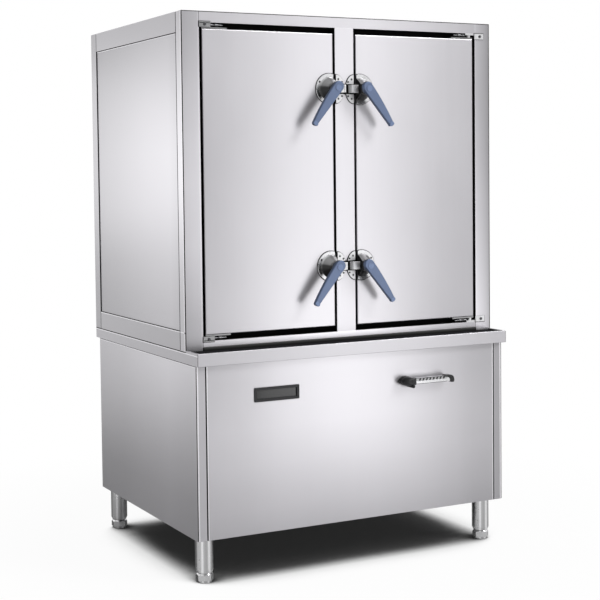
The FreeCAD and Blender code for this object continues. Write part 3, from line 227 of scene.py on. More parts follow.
def polished(name, color, rough, across=None, painted_tones=None, metallic=1.0, painted_spread=None):
    """Chrome with faint polishing marks, water spots, painted shade in crevices, painted highlights on folds,
    painted reflection and shade tones that follow its turn, and painted light by place where given.
    """
    p = Paint(name, metallic)
    marks = p.noise(MARKS, 3.0, 0.6)
    cloud = p.noise(CLOUDS, 3.0, 0.5, 0.4)
    spots = p.span(p.noise(SPOTS, 1.0, 0.4), 0.66, 0.72)
    base = p.mix(p.blend(0.6, marks, cloud), shade(color, 0.93), shade(color, 1.06))
    if painted_tones:
        # painted reflection and shade: the tone follows the surface's turn about a fixed axis
        base = p.times(base, p.ramp(p.facing(across), painted_tones))
    # painted light and shade: the colour is scaled by place
    if painted_spread:
        base = p.scale(base, painted_spread(p))
    # painted highlight: folds are made lighter
    base = p.mix(p.math("MULTIPLY", p.folds(MM), POLISHED_FOLD_HIGHLIGHT), base, shade(color, 1.3))
    # painted shade: crevices are darkened by ambient occlusion
    base = p.mix(p.span(p.crevices(0.008), 0.1, 0.7), shade(color, CHROME_GAP_SHADE), base)
    p.set("Base Color", base)
    dull = p.math("ADD", p.math("MULTIPLY", cloud, CLOUD_DULL), p.math("MULTIPLY", spots, SPOT_DULL))
    p.set("Roughness", p.math("ADD", dull, rough))
    p.bump(marks, 0.05, 0.0002)
    return p


def coated(name, color, rough, metallic=0.0, speck=420.0, uneven=0.08, worn_to=1.6, rim=1.0, under=None,
           lit_above=None, **fixed):
    """Paint, enamel, plastic or rubber: orange peel or mould texture, dust, a rim of painted shade, rubbed
    edges, painted light on upward faces and painted shade in gaps.
    """
    p = Paint(name, metallic, **fixed)
    peel = p.noise((speck, speck, speck), 2.0, 0.5)
    dust = p.noise(DUST, 4.0, 0.6, 0.3)
    base = p.mix(p.span(dust, 0.3, 0.7), shade(color, 1.0 - uneven), shade(color, 1.0 + uneven))
    base = p.mix(p.math("MULTIPLY", p.edges(), RUBBED), base, shade(color, worn_to))
    if rim != 1.0:
        # painted shade: the rim darkens where the surface turns side-on to the axis
        turned = p.dot(p.node("ShaderNodeTexCoord").outputs["Normal"], RIM_SHADE_AXIS)
        base = p.mix(p.span(p.math("ABSOLUTE", turned), 0.55, 0.15), base, shade(color, rim))
    if under:
        base = p.mix(p.span(p.facing(TO_REAR), 0.55, 0.7), base, under + (1.0,))
    # painted light: faces turned upwards are made lighter
    if lit_above:
        base = p.mix(p.span(p.facing(UPWARDS), 0.55, 0.95), base, shade(color, lit_above))
    # painted shade: corners and gaps are darkened by ambient occlusion
    base = p.mix(p.span(p.crevices(0.006), 0.1, 0.7), shade(color, COAT_GAP_SHADE), base)
    p.set("Base Color", base)
    dull = p.math("ADD", p.math("MULTIPLY", peel, PEEL_DULL), p.math("MULTIPLY", dust, DUST_DULL))
    p.set("Roughness", p.math("ADD", dull, rough - (PEEL_DULL + DUST_DULL) / 2.0))
    p.bump(peel, 0.15, 0.0002)
    return p


STEEL = (0.475, 0.466, 0.488)
BLACK = (0.012, 0.012, 0.013)
# painted reflections and shade round a chromed leg, a latch hub and a keeper, as (turn from dark side to lit
# side, tone)
LEG_PAINTED_REFLECTION = ((0.0, 0.08), (0.08, 0.3), (0.16, 0.62), (0.34, 0.66), (0.38, 1.0), (0.46, 1.0), (0.5, 0.6),
             (0.64, 0.48), (0.72, 0.6), (0.76, 1.0), (0.83, 0.9), (0.88, 0.5), (0.95, 0.35), (1.0, 0.05))
HUB_PAINTED_LIGHT = ((0.0, 0.03), (0.3, 0.05), (0.42, 0.1), (0.5, 0.35), (0.6, 0.42), (0.8, 0.5), (0.9, 0.25),
             (1.0, 0.06))
KEEPER_PAINTED_LIGHT = ((0.0, 0.3), (0.3, 0.3), (0.5, 0.45), (0.9, 0.9), (1.0, 1.0))
# painted light and shade on the sheet work, as (millimetres, factor) along each direction
LEFT_POST = ((750.0, 0.86), (860.0, 0.9), (1100.0, 1.2), (1300.0, 1.28), (1450.0, 1.2), (1680.0, 0.94),
             (1790.0, 0.82), (1855.0, 0.8))
LEFT_ACROSS = ((-600.0, 0.94), (-570.0, 1.0), (-545.0, 1.05), (-540.0, 1.3), (-538.0, 1.3))
RIGHT_POST = ((754.0, 1.48), (830.0, 1.44), (1060.0, 1.2), (1290.0, 0.99), (1410.0, 0.9), (1640.0, 0.78),
              (1855.0, 0.76))
RIGHT_ACROSS = ((538.0, 1.25), (540.0, 1.25), (545.0, 1.1), (560.0, 1.0), (580.0, 0.87), (590.0, 0.77),
                (600.0, 0.64))
RAILS = ((-538.0, 1.0), (-215.0, 0.9), (100.0, 0.94), (450.0, 0.9), (538.0, 0.84))
LOWER_RAIL = 1.5
SIDE_POST = ((750.0, 1.0), (860.0, 1.0), (1250.0, 1.18), (1375.0, 1.18), (1630.0, 1.06), (1855.0, 0.95))
SIDE_BACK = ((-324.0, 0.85), (431.0, 0.83), (433.0, 0.76), (486.0, 0.76))
PANEL_DEEP = ((-323.0, 1.0), (-250.0, 1.07), (-60.0, 1.0), (210.0, 0.86), (431.0, 0.76))
PANEL_HIGH = ((820.0, 0.95), (980.0, 1.0), (1400.0, 1.0), (1600.0, 0.93), (1786.0, 0.86))
BASE_DEEP = ((-440.0, 1.15), (-210.0, 1.22), (70.0, 1.07), (215.0, 0.97), (457.0, 0.88))
BASE_HIGH = ((150.0, 0.8), (270.0, 0.8), (550.0, 1.0), (720.0, 1.1))
BASE_RETURNS = ((-600.0, 1.0), (559.0, 1.0), (561.0, 0.8), (594.0, 0.8), (595.5, 1.0), (600.0, 1.0))
FRONT_WIDE = ((-562.0, 1.05), (-300.0, 1.04), (-190.0, 1.0), (300.0, 1.0), (400.0, 0.98), (470.0, 0.93),
              (562.0, 0.92))
FRONT_HIGH = ((150.0, 0.88), (230.0, 0.97), (375.0, 1.07), (500.0, 1.09), (650.0, 1.0), (752.0, 0.98))
BRACKETS = ((-600.0, 0.5), (-100.0, 0.5), (100.0, 1.15), (600.0, 1.15))
HUB_RIM = ((-420.0, 1.0), (-380.0, 1.0), (-377.0, 1.9), (-373.0, 1.9))
# edges of the posts and of the lower rail, in metres as the materials see them
POST_INNER, POST_REAR, RAIL_TOP = 0.538, -0.324, 0.7875


def sideways(p):
    """1 on faces that look to the left or right, 0 elsewhere."""
    normal = p.node("ShaderNodeNewGeometry").outputs["True Normal"]
    return p.beyond(p.math("ABSOLUTE", p.dot(normal, TO_RIGHT)), 0.5)


def frame_painted_light(p):
    """Painted light and shade: posts brighter at mid height, the right one also fading outwards, and even
    rails.
    """
    x, y, z = p.place()
    left = p.math("MULTIPLY", p.profile(z, LEFT_POST), p.profile(x, LEFT_ACROSS))
    right = p.math("MULTIPLY", p.profile(z, RIGHT_POST), p.profile(x, RIGHT_ACROSS))
    rails = p.math("MULTIPLY", p.profile(x, RAILS), p.blend(p.beyond(z, RAIL_TOP), LOWER_RAIL, 1.0))
    front = p.blend(p.beyond(x, -POST_INNER), left, rails)
    front = p.blend(p.beyond(x, POST_INNER), front, right)
    at_front_post = p.math("LESS_THAN", y, POST_REAR)
    side = p.blend(at_front_post, p.profile(y, SIDE_BACK), p.profile(z, SIDE_POST))
    return p.blend(sideways(p), front, side)


def panel_painted_light(p):
    """Painted shade: the cabinet's side panels fade to the rear and to their tops."""
    y, z = p.place()[1:]
    return p.math("MULTIPLY", p.profile(y, PANEL_DEEP), p.profile(z, PANEL_HIGH))


def base_painted_light(p):
    """Painted light and shade: the base's sides fade to the rear and down, and the right front return is a
    little darker.
    """
    x, y, z = p.place()
    side = p.math("MULTIPLY", p.profile(y, BASE_DEEP), p.profile(z, BASE_HIGH))
    return p.blend(sideways(p), p.profile(x, BASE_RETURNS), side)


def front_painted_light(p):
    """Painted highlight: the base's front is brightest a little above its middle."""
    x, z = p.place()[::2]
    return p.math("MULTIPLY", p.profile(x, FRONT_WIDE), p.profile(z, FRONT_HIGH))


def bracket_painted_light(p):
    """Painted shade: the left brackets are duller than the right ones."""
    return p.profile(p.place()[0], BRACKETS)


def hub_painted_highlight(p):
    """A painted highlight: a bright rim where the cone runs out on its plate."""
    return p.profile(p.place()[1], HUB_RIM)


def sheet(name, rough, painted_light=None, **more):
    """Stainless sheet in the object's own grey, with an upright grain and any painted light by place it is
    given.
    """
    return brushed(name, STEEL, rough, anisotropic=0.6, turn=0.25, painted_light=painted_light, **more)


MATERIALS = {
    "brushed_stainless": sheet("sheet_stainless", 0.33),
    "door_stainless": sheet("door_stainless", 0.32, fold_width=2.6, fold_gain=1.6),
    "post_stainless": sheet("post_stainless", 0.33, frame_painted_light),
    "base_stainless": sheet("base_stainless", 0.33, base_painted_light),
    "panel_stainless": sheet("panel_stainless", 0.33, panel_painted_light),
    "front_stainless": sheet("front_stainless", 0.33, front_painted_light, crevice=0.005),
    "table_stainless": brushed("table_stainless", (0.46, 0.452, 0.473), 0.42, anisotropic=0.5, turn=0.25),
    # painted glint: the lighter steel of the bright strips
    "painted_glint_steel": brushed("painted_glint_sheet", (0.74, 0.73, 0.76), 0.4, anisotropic=0.3),
    "frame_steel": brushed("mill_steel", (0.5, 0.5, 0.51), 0.42, "X"),
    "liner_stainless": brushed("liner_satin", (0.58, 0.58, 0.59), 0.32, "X"),
    "chromed_legs": polished("leg_chrome", (0.95, 0.95, 0.97), 0.16, (0.892, -0.452, 0.0), LEG_PAINTED_REFLECTION),
    "latch_chrome": polished("latch_plating", (0.5, 0.5, 0.51), 0.2),
    "keeper_satin": polished("keeper_satin", (0.68, 0.68, 0.69), 0.36, (0.45, -0.89, 0.0), KEEPER_PAINTED_LIGHT),
    "strap_steel": brushed("strap_mill_steel", (0.3, 0.3, 0.305), 0.38, "X"),
    "bracket_chrome": polished("bracket_plating", (0.6, 0.6, 0.61), 0.3, painted_spread=bracket_painted_light),
    "hub_chrome": polished("hub_plating", (0.8, 0.8, 0.81), 0.3, (0.35, 0.0, 0.94), HUB_PAINTED_LIGHT, 0.65,
                           hub_painted_highlight),
    "knuckle_steel": polished("knuckle_steel", (0.13, 0.13, 0.135), 0.3),
    "cheek_satin": coated("ground_cheek", (0.8, 0.8, 0.81), 0.5, worn_to=1.1),
    "screw_steel": polished("screw_plating", (0.09, 0.09, 0.095), 0.3),
    "lever_enamel": coated("lever_enamel_coat", (0.112, 0.153, 0.258), 0.34, 0.25, uneven=0.06, rim=0.3,
                           under=(0.05, 0.05, 0.055)),
    "black_plastic": coated("black_moulding", BLACK, 0.42, worn_to=2.0, Specular_IOR_Level=0.3),
    "rib_grey": coated("rib_backing", (0.3, 0.3, 0.305), 0.4, 0.5, worn_to=1.5),
    "dark_glass": coated("tinted_glass", BLACK, 0.12, speck=30.0, worn_to=1.0),
    "door_seal": coated("seal_rubber", (0.006, 0.006, 0.006), 0.7, speck=700.0, Specular_IOR_Level=0.05),
    # painted shade as well as rubber: the black of the deck mat
    "mat_rubber_and_shade": coated("mat_rubber_and_shade", BLACK, 0.8, speck=900.0, uneven=0.2, Specular_IOR_Level=0.02),
    # painted shade with painted light: black, made lighter on faces turned upwards
    "bead_rubber_and_shade": coated("bead_rubber_and_shade", (0.008, 0.008, 0.008), 0.7, lit_above=12.0, Specular_IOR_Level=0.05),
    # painted shade: black fills for the screws' cross recesses
    "recess_black": coated("screw_recess_shade", (0.01, 0.01, 0.01), 0.5),
    "mineral_wool": coated("wool_slab", (0.5, 0.42, 0.22), 0.95, speck=900.0, uneven=0.2),
    "valve_brass": polished("turned_brass", (0.72, 0.5, 0.2), 0.22),
    "burner_iron": coated("cast_iron_skin", (0.03, 0.03, 0.032), 0.75, 0.4, speck=500.0, uneven=0.2),
    "pipe_paint": coated("yellow_pipe_paint", (0.6, 0.4, 0.03), 0.4, uneven=0.07),
    "flue_steel": brushed("heat_tinted_steel", (0.48, 0.44, 0.4), 0.4, "Y", uneven=0.1),
}

FINISHES = {"left_latch_hubs": "hub_chrome", "right_latch_hubs": "hub_chrome",
            "latch_keepers": "keeper_satin", "hinge_brackets": "bracket_chrome",
            "left_door_hinge_straps": "strap_steel", "right_door_hinge_straps": "strap_steel",
            "left_door_outer_skin": "door_stainless", "right_door_outer_skin": "door_stainless",
            "cabinet_frame": "post_stainless", "cabinet_side_panels": "panel_stainless",
            "tabletop": "table_stainless", "base_side_panels": "base_stainless",
            "base_front_panel": "front_stainless"}


def paint_nodes():
    """Each CAD node gets the finish of its record slot, or its own from the list above."""
    for node in CAD.values():
        for place in node.material_slots:
            place.material = MATERIALS[place.material.name].mat
    for name, finish in FINISHES.items():
        CAD[name].material_slots[0].material = MATERIALS[finish].mat


# Rounded folds on the sheet work

FOLDS = {"base_side_panels": 0.0013, "base_front_panel": 0.0013, "base_frame": 0.0013,
         "cabinet_side_panels": 0.0005, "cabinet_back_panel": 0.0005, "roof_panel": 0.0005}
SHARP_TURN = math.radians(30)


def fold_edges(solid, width, segments):
    """A small round along each sharp edge, as folded sheet and mouldings have."""
    bevel = solid.modifiers.new("fold", "BEVEL")
    bevel.width = width
    bevel.segments = segments
    bevel.limit_method = "ANGLE"
    bevel.angle_limit = SHARP_TURN
    bevel.harden_normals = True


def round_nodes():
    for name, width in FOLDS.items():
        weld = CAD[name].modifiers.new("joined", "WELD")
        weld.merge_threshold = 0.00001
        fold_edges(CAD[name], width, 2)


# Sizes of the solids, in millimetres

def box_mm(node):
    """A CAD node's lowest and highest corner."""
    return [[round(value / MM, 3) for value in corner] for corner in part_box(node)]


def pivots(*names):
    """The points that joints turn about."""
    points = {joint["name"]: joint.get("pos_m") for joint in frame["joints"]}
    return [[round(value / MM, 3) for value in points[name]] for name in names]


(_, FACE, FOOT), (HALF, BACK, TOP) = box_mm("cabinet_frame")
(_, TABLE, TABLE_FOOT), (_, _, TABLE_TOP) = box_mm("tabletop")
(_, PANEL, PANEL_FOOT), (PANEL_HALF, _, _) = box_mm("base_front_panel")
BASE_HALF, BASE_BACK, _ = box_mm("base_side_panels")[1]
(_, SIDE_FRONT, SIDE_FOOT), (SIDE_HALF, SIDE_REAR, SIDE_TOP) = box_mm("cabinet_side_panels")
STILE = -box_mm("hinge_brackets")[0][0]
(_, _, SILL), (MULLION, _, LINTEL) = box_mm("centre_mullion")
MIDDLE = (SILL + LINTEL) / 2
(LATCH_X, _, UPPER), (_, _, LOWER) = pivots("right_upper_latch_turn", "right_lower_latch_turn")
VALVE_Z = pivots("gas_lever_turn")[0][2]
LATCH_LEVELS = (UPPER, LOWER)
SIDES = ((-1, "left"), (1, "right"))


# Mesh helpers, in millimetres

def piece(name, bm, finish, body, fold=0.0, segments=2, angle=35.0):
    """Turns a mesh in millimetres into a shaded piece that rides on a body."""
    bmesh.ops.recalc_face_normals(bm, faces=bm.faces[:])
    bmesh.ops.scale(bm, vec=(MM, MM, MM), verts=bm.verts[:])
    mesh = bpy.data.meshes.new(name)
    bm.to_mesh(mesh)
    bm.free()
    mesh.shade_smooth()
    mesh.set_sharp_from_angle(angle=math.radians(angle))
    mesh.materials.append(MATERIALS[finish].mat)
    made = bpy.data.objects.new(name, mesh)
    bpy.context.collection.objects.link(made)
    if fold:
        fold_edges(made, fold * MM, segments)
    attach(made, body)
    return made


def loft(bm, rings, ends=True):
    """Skins a row of rings with equal numbers of points; without ends the last ring joins the first."""
    rows = [[bm.verts.new(point) for point in ring] for ring in rings]
    pairs = list(zip(rows, rows[1:])) + ([] if ends else [(rows[-1], rows[0])])
    for a, b in pairs:
        for i in range(len(a)):
            k = (i + 1) % len(a)
            bm.faces.new((a[i], a[k], b[k], b[i]))
    if ends:
        bm.faces.new(rows[0])
        bm.faces.new(rows[-1])


def block(bm, lo, hi):
    (x0, y0, z0), (x1, y1, z1) = lo, hi
    loft(bm, [[(x, y0, z0), (x, y1, z0), (x, y1, z1), (x, y0, z1)] for x in (x0, x1)])


def along_x(points, x):
    return [(x, y, z) for y, z in points]


def along_y(points, y):
    return [(x, y, z) for x, z in points]


def scaled(points, centre, factor):
    return [(centre[0] + (x - centre[0]) * factor, centre[1] + (z - centre[1]) * factor) for x, z in points]


def arc(cx, cz, radius, start, end, steps):
    turns = [math.radians(start + (end - start) * i / steps) for i in range(steps + 1)]
    return [(cx + radius * math.cos(a), cz + radius * math.sin(a)) for a in turns]


# Doors and deck: seals, and a mat and bead that are partly painted shade

# how far a rebate seal stands in from its opening, as (y, in from the sides, in from sill and lintel)
SEAL_PROFILE = ((-364.0, 0.0, 0.0), (-364.0, 1.4, 1.4), (-362.5, 2.1, 2.1), (-360.5, 1.8, 1.8),
                (-359.0, 0.9, 0.9), (-325.3, 0.9, 0.9), (-324.9, 1.5, 1.5), (-324.9, 8.5, 19.5),
                (-324.1, 8.5, 19.5), (-324.1, 0.0, 0.0))


def make_rebate_seals():
    """A black seal with a bead lines each door opening and laps onto the liner's flange."""
    for side, hand in SIDES:
        rings = []
        for y, dx, dz in SEAL_PROFILE:
            x0, x1 = side * (MULLION + dx), side * (STILE - dx)
            z0, z1 = SILL + dz, LINTEL - dz
            rings.append([(x0, y, z0), (x1, y, z0), (x1, y, z1), (x0, y, z1)])
        bm = bmesh.new()
        loft(bm, rings, ends=False)
        piece("rebate_seal_" + hand, bm, "door_seal", "cabinet")


def make_mat_and_shade():
    """A ribbed black drip mat on the sunken deck in front of the cabinet, its black also painted shade under
    the cabinet's front.
    """
    front, back, half = TABLE + 8.4, FACE - 0.6, HALF - 8.6
    under, groove, crest, rim = FOOT + 0.05, FOOT + 1.0, FOOT + 2.0, FOOT + 2.2
    pitch = 9.0
    profile = [(front, under), (front, FOOT + 1.6), (front + 4.0, rim)]
    y = front + 8.0
    while y < back - 10.0:
        profile += [(y, groove), (y + 1.5, crest), (y + 5.0, crest), (y + 6.5, groove)]
        y += pitch
    profile += [(back - 2.0, crest), (back, FOOT + 1.4), (back, under)]
    bm = bmesh.new()
    loft(bm, [along_x(profile, x) for x in (-half, half)])
    piece("deck_mat_and_shade", bm, "mat_rubber_and_shade", "cabinet")


def make_bead_and_shade():
    """A black bead at the foot of the lower rail, thin under the posts, whose black is also painted shade
    there and whose top is painted lighter.
    """
    rail = (14.0, 5.0)
    post = (3.2, 2.0)
    inner = STILE - 1.0
    bm = bmesh.new()
    for x0, x1, (high, deep) in ((-inner, inner, rail), (-HALF, -STILE, post), (STILE, HALF, post)):
        bead = [(FACE - 0.05, FOOT + 0.1), (FACE - 0.05, FOOT + high), (FACE - 0.4, FOOT + high)]
        for a in range(15, 91, 15):
            out, rise = math.sin(math.radians(a)), math.cos(math.radians(a))
            bead.append((FACE - 0.4 - deep * out, FOOT + 0.1 + (high - 0.4) * rise))
        loft(bm, [along_x(bead, x) for x in (x0, x1)])
    piece("deck_bead_and_shade", bm, "bead_rubber_and_shade", "cabinet")


# Joint lines and painted shade lines (black strips) and painted glints (bright strips) of the sheet work, as
# thin strips (lowest corner, highest corner) of the right side

SIDE_SKIN, GLINT_SKIN = HALF + 0.05, HALF + 0.03
POST_FOOT, POST_TOP = FOOT + 3.5, TOP - 1.5
BASE_FOOT, BASE_TOP = PANEL_FOOT + 2.0, TABLE_FOOT - 2.0
# the strips' inner faces on the cabinet's sides and on its recessed panels
IN_SIDE, IN_PANEL = HALF - 0.5, SIDE_HALF - 0.1

RAIL_SEAM = ((STILE - 0.6, FACE - 0.1, FOOT + 1.0), (STILE + 0.6, FACE + 1.0, SILL - 0.5))
POST_CORNER_SHADE = ((HALF - 2.6, FACE - 0.12, POST_FOOT), (SIDE_SKIN, FACE + 2.4, POST_TOP))
PANEL_FRONT = ((IN_PANEL, SIDE_FRONT - 2.4, POST_FOOT), (SIDE_SKIN, SIDE_FRONT + 2.0, TOP - 0.5))
PANEL_REAR = ((IN_PANEL, SIDE_REAR - 2.0, POST_FOOT), (SIDE_SKIN, SIDE_REAR + 2.0, TOP - 0.5))
PANEL_TOP = ((IN_PANEL, SIDE_FRONT + 1.0, SIDE_TOP - 1.3), (SIDE_SKIN, SIDE_REAR - 1.0, SIDE_TOP + 0.9))
PANEL_UNDER = ((IN_PANEL, SIDE_FRONT + 1.0, SIDE_FOOT - 1.4), (SIDE_SKIN, SIDE_REAR - 1.0, SIDE_FOOT + 0.6))
CABINET_FOOT = ((HALF - 1.0, FACE + 1.0, FOOT - 1.0), (SIDE_SKIN, BACK - 1.0, FOOT + 2.2))
UNDER_TABLE_SHADOW = ((BASE_HALF - 0.5, PANEL + 1.0, TABLE_FOOT - 2.8),
               (BASE_HALF + 0.5, BASE_BACK - 1.0, TABLE_FOOT))
BASE_CORNER_SHADE = ((BASE_HALF - 2.1, PANEL - 0.12, BASE_FOOT), (BASE_HALF + 0.15, PANEL + 2.0, BASE_TOP))
FRONT_SEAM = ((PANEL_HALF - 2.0, PANEL - 0.1, PANEL_FOOT + 1.0),
              (PANEL_HALF + 2.0, PANEL + 1.0, TABLE_FOOT - 1.0))
TABLE_CORNER_SHADE = ((HALF - 1.0, TABLE - 0.1, TABLE_FOOT + 1.0), (SIDE_SKIN, TABLE + 1.0, TABLE_TOP - 1.0))
ROOF_LINE = ((0.0, FACE - 0.12, TOP - 0.9), (HALF, FACE + 0.5, TOP + 1.4))
TOP_LEFT_SEAM = ((-STILE - 0.6, FACE - 0.1, LINTEL + 0.5), (-STILE + 0.6, FACE + 1.0, TOP + 0.5))
# painted shade lines: the black strips on the corners of the post, the base and the table and under the
# table's overhang; the others lie on joints
SEAMS_AND_SHADE_LINES = (RAIL_SEAM, POST_CORNER_SHADE, PANEL_FRONT, PANEL_REAR, PANEL_TOP, PANEL_UNDER, CABINET_FOOT, UNDER_TABLE_SHADOW,
         BASE_CORNER_SHADE, FRONT_SEAM, TABLE_CORNER_SHADE, ROOF_LINE)

# painted glints: bright strips of lighter steel beside edges and joint lines, standing in for highlights
CORNER_GLINT = ((BASE_HALF - 6.9, PANEL - 0.06, BASE_FOOT), (BASE_HALF - 2.1, PANEL + 0.5, BASE_TOP))
FRONT_GLINT = ((PANEL_HALF - 5.0, PANEL - 0.06, BASE_FOOT), (PANEL_HALF - 2.0, PANEL + 0.5, BASE_TOP))
PANEL_TOP_GLINT = ((IN_PANEL, SIDE_FRONT + 2.0, SIDE_TOP - 4.5),
                 (SIDE_HALF + 0.1, SIDE_REAR - 1.4, SIDE_TOP - 1.3))
PANEL_FOOT_GLINT = ((IN_SIDE, FACE + 1.0, SIDE_FOOT - 4.6), (GLINT_SKIN, SIDE_REAR - 1.0, SIDE_FOOT - 1.4))
TABLE_GLINT = ((IN_SIDE, TABLE + 1.0, FOOT - 4.6), (GLINT_SKIN, BACK - 1.0, FOOT - 1.0))
BASE_TOP_GLINT = ((BASE_HALF - 0.5, PANEL + 2.0, TABLE_FOOT - 6.4),
                (BASE_HALF + 0.05, BASE_BACK - 1.0, TABLE_FOOT - 2.8))
POST_GLINT = ((IN_SIDE, FACE + 2.4, POST_FOOT), (GLINT_SKIN, FACE + 9.0, POST_TOP))
GLINT_STRIPS = (CORNER_GLINT, FRONT_GLINT, PANEL_TOP_GLINT, PANEL_FOOT_GLINT, TABLE_GLINT, BASE_TOP_GLINT, POST_GLINT)


def mirrored_strips(places):
    """The same thin strips on the left and on the right."""
    bm = bmesh.new()
    for lo, hi in places:
        block(bm, lo, hi)
        block(bm, (-hi[0], lo[1], lo[2]), (-lo[0], hi[1], hi[2]))
    return bm


def make_sheet_lines():
    piece("seams_and_shade_lines", mirrored_strips(SEAMS_AND_SHADE_LINES), "door_seal", "cabinet")
    piece("painted_glint_strips", mirrored_strips(GLINT_STRIPS), "painted_glint_steel", "cabinet")
    bm = bmesh.new()
    block(bm, *TOP_LEFT_SEAM)
    piece("top_corner_seam", bm, "door_seal", "cabinet")


# Latches: black pads of painted shade, spacers, cheeks and screw recesses painted black as shade

PAD_BACK, PAD_FRONT = FACE - 0.05, FACE - 0.9
PLATE_PAD, PLATE_EDGE = 53.4, 44.8
KEEPER_EDGE, KEEPER_REACH, KEEPER_TALL = MULLION - 0.8, 34.0, 50.4
STRIKE_SPLIT, STRIKE_END, STRIKE_HALF = -5.0, MULLION + 0.5, 17.2
STRIKE_BACK, STRIKE_FRONT, STRIKE_STEP = FACE - 3.95, FACE - 4.8, 0.1
CHEEK_HALF, CHEEK_Y = 13.0, (FACE - 25.6, FACE - 5.8)
SPACER_X = (-14.6, -7.5)
# x of a cheek's face on its strike, of its grooves and of its crests, and the number and pitch of its ribs
CHEEK_SEAT, GROOVE_DEEP, RIB_CREST, CHEEK_RIBS, CHEEK_PITCH = 14.45, 13.9, 13.0, 5, 3.96


def pad(bm, outline, y0, y1):
    loft(bm, [along_y(outline, y) for y in (y0, y1)])


def plate_outline(side, level):
    """A disc cut straight at the door's edge."""
    half = math.degrees(math.acos((LATCH_X - PLATE_EDGE) / PLATE_PAD))
    return [(side * x, z) for x, z in arc(LATCH_X, level, PLATE_PAD, half - 180.0, 180.0 - half, 40)]


def keeper_outline(side, level):
    """Half an oval, flat at the mullion's edge."""
    points = []
    for i in range(33):
        a = math.radians(90.0 + 180.0 * i / 32)
        points.append((side * (KEEPER_EDGE + KEEPER_REACH * math.cos(a)), level + KEEPER_TALL * math.sin(a)))
    return points


def make_latch_shade_pads():
    """Thin black pads under the latch plates, the keepers and the strikes, whose rims paint a dark shade
    outline round them.
    """
    for side, hand in SIDES:
        bm = bmesh.new()
        for level in LATCH_LEVELS:
            pad(bm, plate_outline(side, level), PAD_BACK, PAD_FRONT)
        piece(hand + "_latch_shade_pads", bm, "door_seal", hand + "_door")
    bm = bmesh.new()
    for side, _ in SIDES:
        inner, outer = STRIKE_SPLIT, side * STRIKE_END
        for level in LATCH_LEVELS:
            low, high = level - STRIKE_HALF, level + STRIKE_HALF
            pad(bm, keeper_outline(side, level), PAD_BACK, PAD_FRONT)
            strike = [(inner, low), (inner, high), (outer, high), (outer, low)]
            pad(bm, strike, STRIKE_BACK, STRIKE_FRONT - STRIKE_STEP * side)
    piece("keeper_shade_pads", bm, "door_seal", "cabinet")


def make_strike_cheeks():
    """A plain spacer beside each left strike, and a ribbed cheek beside each right one."""
    front, back = CHEEK_Y
    bm = bmesh.new()
    for level in LATCH_LEVELS:
        block(bm, (SPACER_X[0], front, level - CHEEK_HALF), (SPACER_X[1], back, level + CHEEK_HALF))
    piece("left_strike_spacers", bm, "latch_chrome", "cabinet", fold=1.0)
    ribs = [(CHEEK_SEAT, back)]
    for i in range(CHEEK_RIBS):
        y = back - CHEEK_PITCH * i
        ribs += [(RIB_CREST, y), (RIB_CREST, y - 2.2), (GROOVE_DEEP, y - 2.4), (GROOVE_DEEP, y - 3.9)]
    ribs += [(CHEEK_SEAT, front)]
    bm = bmesh.new()
    for level in LATCH_LEVELS:
        loft(bm, [[(x, y, z) for x, y in ribs] for z in (level - CHEEK_HALF, level + CHEEK_HALF)])
    piece("right_strike_cheeks", bm, "cheek_satin", "cabinet")


SCREW_FACE = FACE - 4.4
CROSS_LONG, CROSS_THIN = 2.4, 0.65
# screws of a latch plate and of a keeper, as (x, above or below the latch's level)
PLATE_SCREWS = ((70.0, 36.0), (98.0, 23.0))
KEEPER_SCREWS = ((26.0, 33.0), (12.0, 24.0))


def crosses(bm, side, screws):
    """Black crosses in the countersunk screws of one side, painted as the shade in their cross recesses."""
    for level in LATCH_LEVELS:
        for x, dz in screws:
            for z in (level + dz, level - dz):
                for wide, tall in ((CROSS_LONG, CROSS_THIN), (CROSS_THIN, CROSS_LONG)):
                    block(bm, (side * x - wide, SCREW_FACE - 0.05, z - tall),
                          (side * x + wide, SCREW_FACE + 0.6, z + tall))


def make_screw_slots():
    for side, hand in SIDES:
        bm = bmesh.new()
        crosses(bm, side, PLATE_SCREWS)
        piece(hand + "_latch_screw_slots", bm, "recess_black", hand + "_door")
    bm = bmesh.new()
    for side, _ in SIDES:
        crosses(bm, side, KEEPER_SCREWS)
    piece("keeper_screw_slots", bm, "recess_black", "cabinet")


# Hinge corners

# heights of the left bracket's lip and of the right bracket's wing at the foot of the doors
LIP_LOW, WING_LOW = (SILL - 3.0, 801.7), (SILL, 807.0)
LIP_X, WING_X = (-STILE - 1.6, -STILE + 41.4), (534.2, 576.4)
GROOVE_X, GROOVE_SHIFT, GROOVE_HALF = (-STILE + 1.5, -499.5), 4.2, 1.0
KNUCKLE_Y, KNUCKLE_RISE = -362.0, 508.5
# a knuckle pin from the pivot to the strap, as (x, radius)
KNUCKLE = ((500.0, 2.0), (499.0, 4.2), (488.0, 4.2), (487.0, 2.6), (480.0, 2.6), (479.0, 5.0), (468.0, 5.0),
           (467.0, 3.0), (452.0, 2.4), (450.5, 1.0))


def end_heights(low, high, up):
    """The same pair of heights at the foot of the doors, or mirrored to their tops."""
    return (low, high) if up < 0 else (2.0 * MIDDLE - high, 2.0 * MIDDLE - low)


